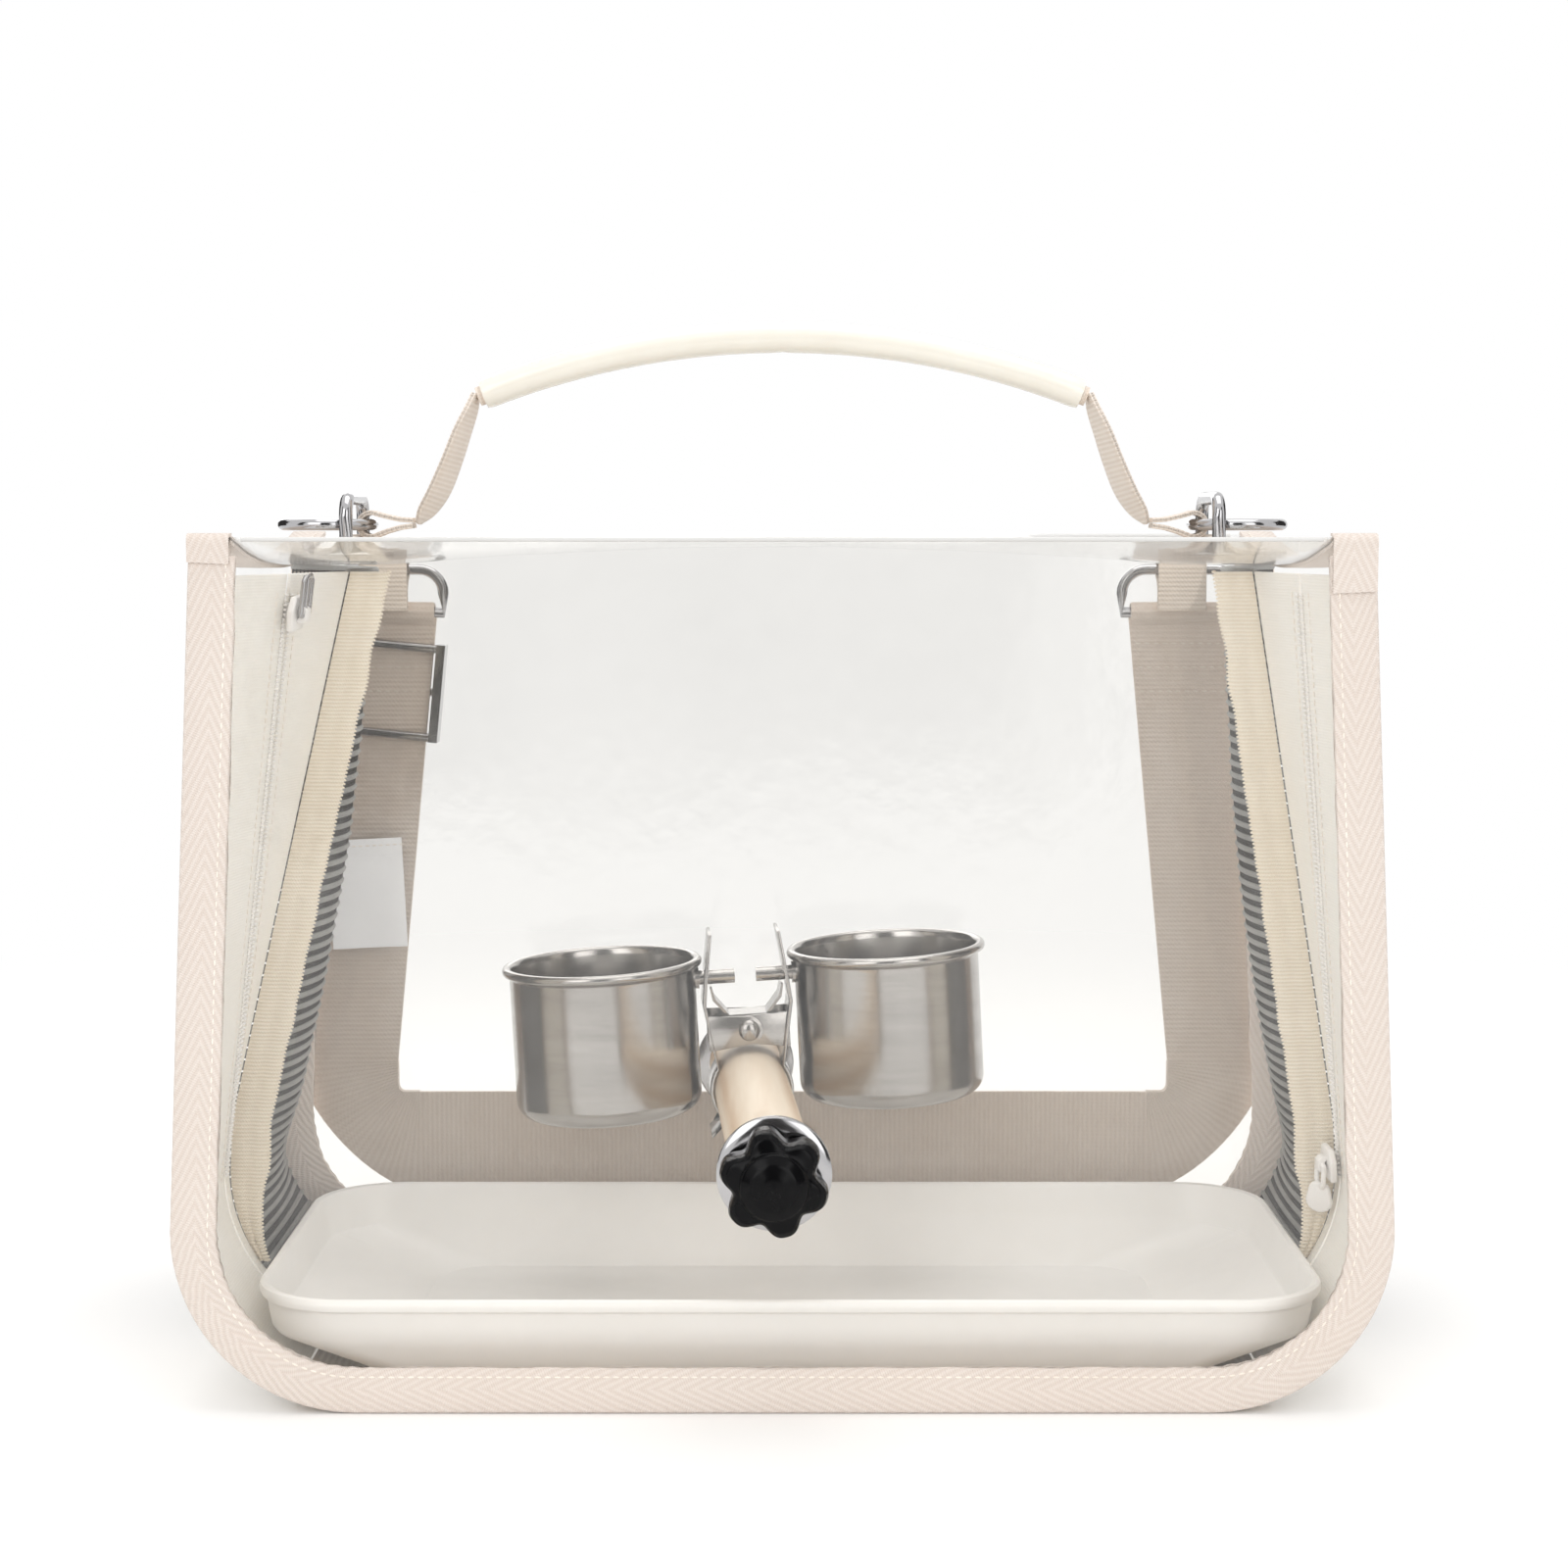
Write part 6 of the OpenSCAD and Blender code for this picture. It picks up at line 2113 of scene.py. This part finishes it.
@dataclass
class ShoulderStrap:
    """The webbing strap stowed behind the bag, its rings, tabs and slide."""

    kit: Kit
    width: float = 30.0
    y: float = 75.75
    bar_z: float = 192.0
    hinge_z: float = 204.5
    top_x: float = 116.0
    low_x: float = 129.0
    fullness: float = 1.5
    start_z: float = 190.6
    turn_z: float = 59.0
    run: float = 131.6
    turn_x: float = 108
    out_x: float = 144
    floor_z: float = 20
    inner_z: float = 50

    def build(self) -> None:
        """Build the strap with everything on it."""
        self._webbing()
        for side in Side:
            self._ring(side)
            self._tab(side)
        self.kit.repaint("strap_adjuster", "plated_metal")

    def _turn(self, t: float) -> Vector:
        """Return the point at a share of the way round the turned corner's outer edge."""
        a = radians(90 * t)
        x = lerp(self.turn_x, self.out_x, max(0.0, cos(a)) ** (2 / self.fullness))
        return vec(x, 0, lerp(self.turn_z, self.floor_z, sin(a) ** (2 / self.fullness)))

    def _inside(self, t: float) -> Vector:
        """Return the point at a share of the way round the turned corner's inner edge."""
        x = lerp(self.low_x - self.width / 2, self.turn_x, smooth_step(2 * t - 0.8))
        return vec(x, 0, lerp(self.turn_z, self.inner_z, smooth_step(1.7 * t)))

    def _rows(self) -> list[Row]:
        """Return the stowed strap's grid from its upper left end round to its upper right end."""
        inner: Row = []
        outer: Row = []
        half = self.width / 2
        for k in range(34):
            t = k / 33
            x, z = lerp(self.top_x, self.low_x, t), lerp(self.start_z, self.turn_z, t)
            outer.append(vec(x + half, 0, z))
            inner.append(vec(x - half, 0, z))
        for k in range(1, 19):
            outer.append(self._turn(k / 18))
            inner.append(self._inside(k / 18))
        for k in range(1, 27):
            t = k / 26
            outer.append(vec(lerp(self.turn_x, 0, t), 0, self.floor_z))
            inner.append(vec(lerp(self.turn_x, 0, t), 0, self.inner_z))
        rows: list[Row] = []
        for sign in (-1, 1):
            part: list[Row] = []
            for k, (a, b) in enumerate(zip(outer, inner)):
                row: Row = []
                for j in range(9):
                    p = a.lerp(b, j / 8)
                    w = 0.45 * ripple(sign * p.x, 0, p.z, 48, 4.0) + 0.1 * ripple(sign * p.x, 0, p.z, 15, 9.0)
                    calm = smooth_step((190 - p.z) / 14)
                    row.append(vec(sign * p.x, self.y + w * calm, p.z))
                part.append(row)
            rows += part if sign < 0 else part[-2::-1]
        return rows

    def _webbing(self) -> None:
        """Build the strap, the turned corners behind it and its sewn ends."""
        parts = [cloth("strap", self._rows(), 1.4)]
        seams: list[Row] = []
        for side in Side:
            fold: list[Row] = []
            for k in range(19):
                a, b = self._turn(k / 18), self._inside(k / 18)
                fold.append([mirrored(side, a.lerp(b, j / 6) + vec(0, self.y + 1.6, 0)) for j in range(7)])
            parts.append(cloth("fold", fold, 1.3))
            parts.append(self._end(side))
            for z in (183.0, 176.0, 169.0):
                x = lerp(self.top_x, self.low_x, (self.start_z - z) / self.run)
                y = self.y - 0.85
                seams.append([mirrored(side, vec(x + a, y, z)) for a in (-13, 13)])
        strap = joined("strap_cloth", parts)
        self.kit.place(strap, "strap", "strap_webbing", "shoulder_strap")
        self.kit.stitch("strap_stitches", seams, 2.4, (1.8, 0.5, 0.4), vec(0, -1, 0), "strap")

    def _end(self, side: Side) -> Piece:
        """Build the strap's end, looped round the ring's lower bar and sewn down behind."""
        r = 1.7 + 0.72
        path = [vec(0, self.y, 188.6)]
        path += [
            vec(0, self.y - r * cos(a), self.bar_z + r * sin(a))
            for a in angles(-35, 250, 16)
        ]
        path += [vec(0, self.y + 1.6, 187.0), vec(0, self.y + 1.6, 166.0)]
        line: Row = []
        for p in spaced(path, 0.9):
            x = lerp(self.top_x, self.low_x, max(0.0, (self.start_z - p.z) / self.run))
            line.append(mirrored(side, vec(x, p.y, p.z)))
        return band("end", line, lambda _i: vec(1, 0, 0), lambda _i: 29.0, 1.4)

    def _ring(self, side: Side) -> None:
        """Build the rectangular ring between the tab and the strap."""
        half, r = 18.6 - 1.6, 7.0
        low, high = self.bar_z, self.hinge_z
        path = [vec(self.top_x - half, self.y, low), vec(self.top_x - half, self.y, high - r)]
        for k in range(1, 9):
            a = radians(90 * k / 8)
            path.append(vec(self.top_x - half + r - r * cos(a), self.y, high - r + r * sin(a)))
        path += [vec(2 * self.top_x - p.x, p.y, p.z) for p in path[::-1]]
        ring = tube(f"strap_wire_{side.word}", [mirrored(side, p) for p in path], 1.6, 18, closed=True)
        self.kit.place(ring, "strap", "plated_metal", f"strap_ring_{side.word}")

    def _tab(self, side: Side) -> None:
        """Build the webbing tab that holds the ring on the back sheet."""
        t = 1.3
        r = 1.6 + 0.3 + t / 2
        y0 = self.kit.shape.half_d + t / 2
        path = [vec(0, y0 + t, 192.6), vec(0, y0 + t, 199.0), vec(0, self.y, self.hinge_z - r + 0.2)]
        path += [
            vec(0, self.y + r * sin(a), self.hinge_z - r * cos(a))
            for a in angles(20, 160, 12)
        ]
        path += [vec(0, self.y - 2, self.hinge_z + r), vec(0, y0, self.hinge_z + r - 0.5), vec(0, y0, 192.6)]
        line = [mirrored(side, vec(self.top_x, p.y, p.z)) for p in spaced(path, 0.8)]
        tab = band(f"strap_tab_cloth_{side.word}", line, lambda _i: vec(1, 0, 0), lambda _i: 14.0, t)
        self.kit.place(tab, "bag", "webbing", f"strap_tab_{side.word}")


# ---------------------------------------------------------------- studio


@dataclass
class Studio:
    """The floor, the lights, the white surroundings and the camera."""

    lens: float = 64.22
    camera_at: tuple[float, float, float] = (0.0004, -0.7421, 0.2197)
    pitch: float = 5.45
    soft_light: float = 0.88
    cards: tuple[tuple[float, float, float, float], ...] = (
        (-14, 9, -100, 1300), (38, 58, -100, 1500), (-66, -52, -100, 1500), (92, 138, -100, 1100),
        (-150, -100, -100, 1100),
    )

    def build(self) -> None:
        """Build the studio."""
        self._camera()
        self._floor()
        self._world()
        self._cards()
        self._lights()
        view = bpy.context.scene.view_settings
        view.view_transform = "Standard"

    def _camera(self) -> None:
        """Place the camera where the photograph was taken from."""
        data = bpy.data.cameras.new("camera")
        data.lens = self.lens
        data.sensor_width = 36.0
        data.clip_start = 0.01
        obj = bpy.data.objects.new("camera", data)
        obj.location = self.camera_at
        obj.rotation_euler = (radians(90 - self.pitch), 0, 0)
        bpy.context.scene.collection.objects.link(obj)
        bpy.context.scene.camera = obj

    def _floor(self) -> None:
        """Lay the pale floor, which fades into the white behind."""
        size = 4000.0
        verts = [vec(a * size, b * size, -0.05) for a, b in ((-1, -1), (1, -1), (1, 1), (-1, 1))]
        floor = make_mesh("floor", verts, [[0, 1, 2, 3]], flat=True)
        mat, g, bsdf = new_material("floor")
        g.feed(bsdf, {"Base Color": (0.93, 0.925, 0.92, 1), "Roughness": 0.7, "Specular IOR Level": 0.2})
        glow = g.node("ShaderNodeEmission", {"Color": (1, 1, 1, 1)})
        place = g.node("ShaderNodeTexCoord").outputs["Object"]
        away = g.node("ShaderNodeVectorMath", {0: place}, operation="LENGTH").outputs["Value"]
        reach = {"From Min": 0.22, "From Max": 0.75, "Value": away}
        fade = g.node("ShaderNodeMapRange", reach, interpolation_type="SMOOTHSTEP")
        mix = g.node("ShaderNodeMixShader", {0: fade, 1: bsdf, 2: glow})
        g.feed(g.tree.nodes["Material Output"], {"Surface": mix})
        floor.data.materials.append(mat)

    def _world(self) -> None:
        """Surround the bag: white to the eye and in reflections, soft light for everything else."""
        world = bpy.data.worlds.new("studio")
        bpy.context.scene.world = world
        world.use_nodes = True
        g = Graph(world.node_tree)
        soft = g.tree.nodes["Background"]
        g.feed(soft, {"Color": (1.0, 0.995, 0.985, 1), "Strength": self.soft_light})
        white = g.node("ShaderNodeBackground", {"Color": (1, 1, 1, 1), "Strength": 1.0})
        path = g.node("ShaderNodeLightPath").outputs
        seen = g.math("MAXIMUM", path["Is Camera Ray"], path["Is Glossy Ray"])
        seen = g.math("MAXIMUM", seen, path["Is Transmission Ray"])
        mix = g.node("ShaderNodeMixShader", {0: seen, 1: soft, 2: white})
        g.feed(g.tree.nodes["World Output"], {"Surface": mix})

    def _cards(self) -> None:
        """Stand dark cards round the bag, which only show in shiny metal."""
        mat, g, bsdf = new_material("dark_card")
        g.feed(bsdf, {"Base Color": (0.03, 0.028, 0.027, 1), "Roughness": 1.0})
        for k, (start, end, low, high) in enumerate(self.cards):
            marks = [radians(lerp(start, end, i / 6)) for i in range(7)]
            verts = [vec(1500 * sin(a), -1500 * cos(a), z) for a in marks for z in (low, high)]
            faces = [[2 * i, 2 * i + 2, 2 * i + 3, 2 * i + 1] for i in range(6)]
            card = make_mesh(f"dark_card_{k}", verts, faces, flat=True)
            card.data.materials.append(mat)
            card.visible_camera = card.visible_diffuse = card.visible_shadow = card.visible_transmission = False

    def _lights(self) -> None:
        """Hang soft panels above, in front and at both sides."""
        for name, at, size, power in (
            ("key", (-0.9, -2.2, 1.1), 1.6, 13.0),
            ("fill", (1.2, -1.9, 0.8), 1.4, 8.0),
            ("top", (0.1, 0.0, 1.5), 1.1, 6.5),
            ("rim", (-0.2, 1.1, 0.7), 0.8, 2.6),
        ):
            data = bpy.data.lights.new(name, "AREA")
            data.shape = "SQUARE"
            data.size = size
            data.energy = power
            obj = bpy.data.objects.new(name, data)
            obj.location = at
            aim = vec(0, 0, 0.1) - Vector(at)
            obj.rotation_euler = aim.to_track_quat("-Z", "Y").to_euler()
            bpy.context.scene.collection.objects.link(obj)


def main() -> None:
    """Load the frame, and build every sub-assembly and the studio."""
    logging.basicConfig(level=logging.INFO, format="%(name)s: %(message)s")
    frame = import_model()
    Studio().build()
    kit = Kit(frame, BagShape(), Materials())
    perch = PerchSet(kit)
    ClearSheets(kit).build()
    Bindings(kit).build()
    TopTapes(kit).build()
    BasePanel(kit).build()
    for side, z in ((Side.LEFT, 196.0), (Side.RIGHT, 49.0)):
        wall = SideWall(kit, side)
        wall.build()
        ZipSlider(kit, wall, z).build()
    TopHardware(kit).build()
    Handle(kit).build()
    perch.build()
    StarKnob(kit).build()
    CupClip(kit, perch).build()
    Tray(kit).build()
    CareLabel(kit).build()
    ShoulderStrap(kit).build()
    for node in ("perch_studs", "rear_cap_nut"):
        kit.repaint(node, "plated_metal")


if __name__ == "__main__":
    main()
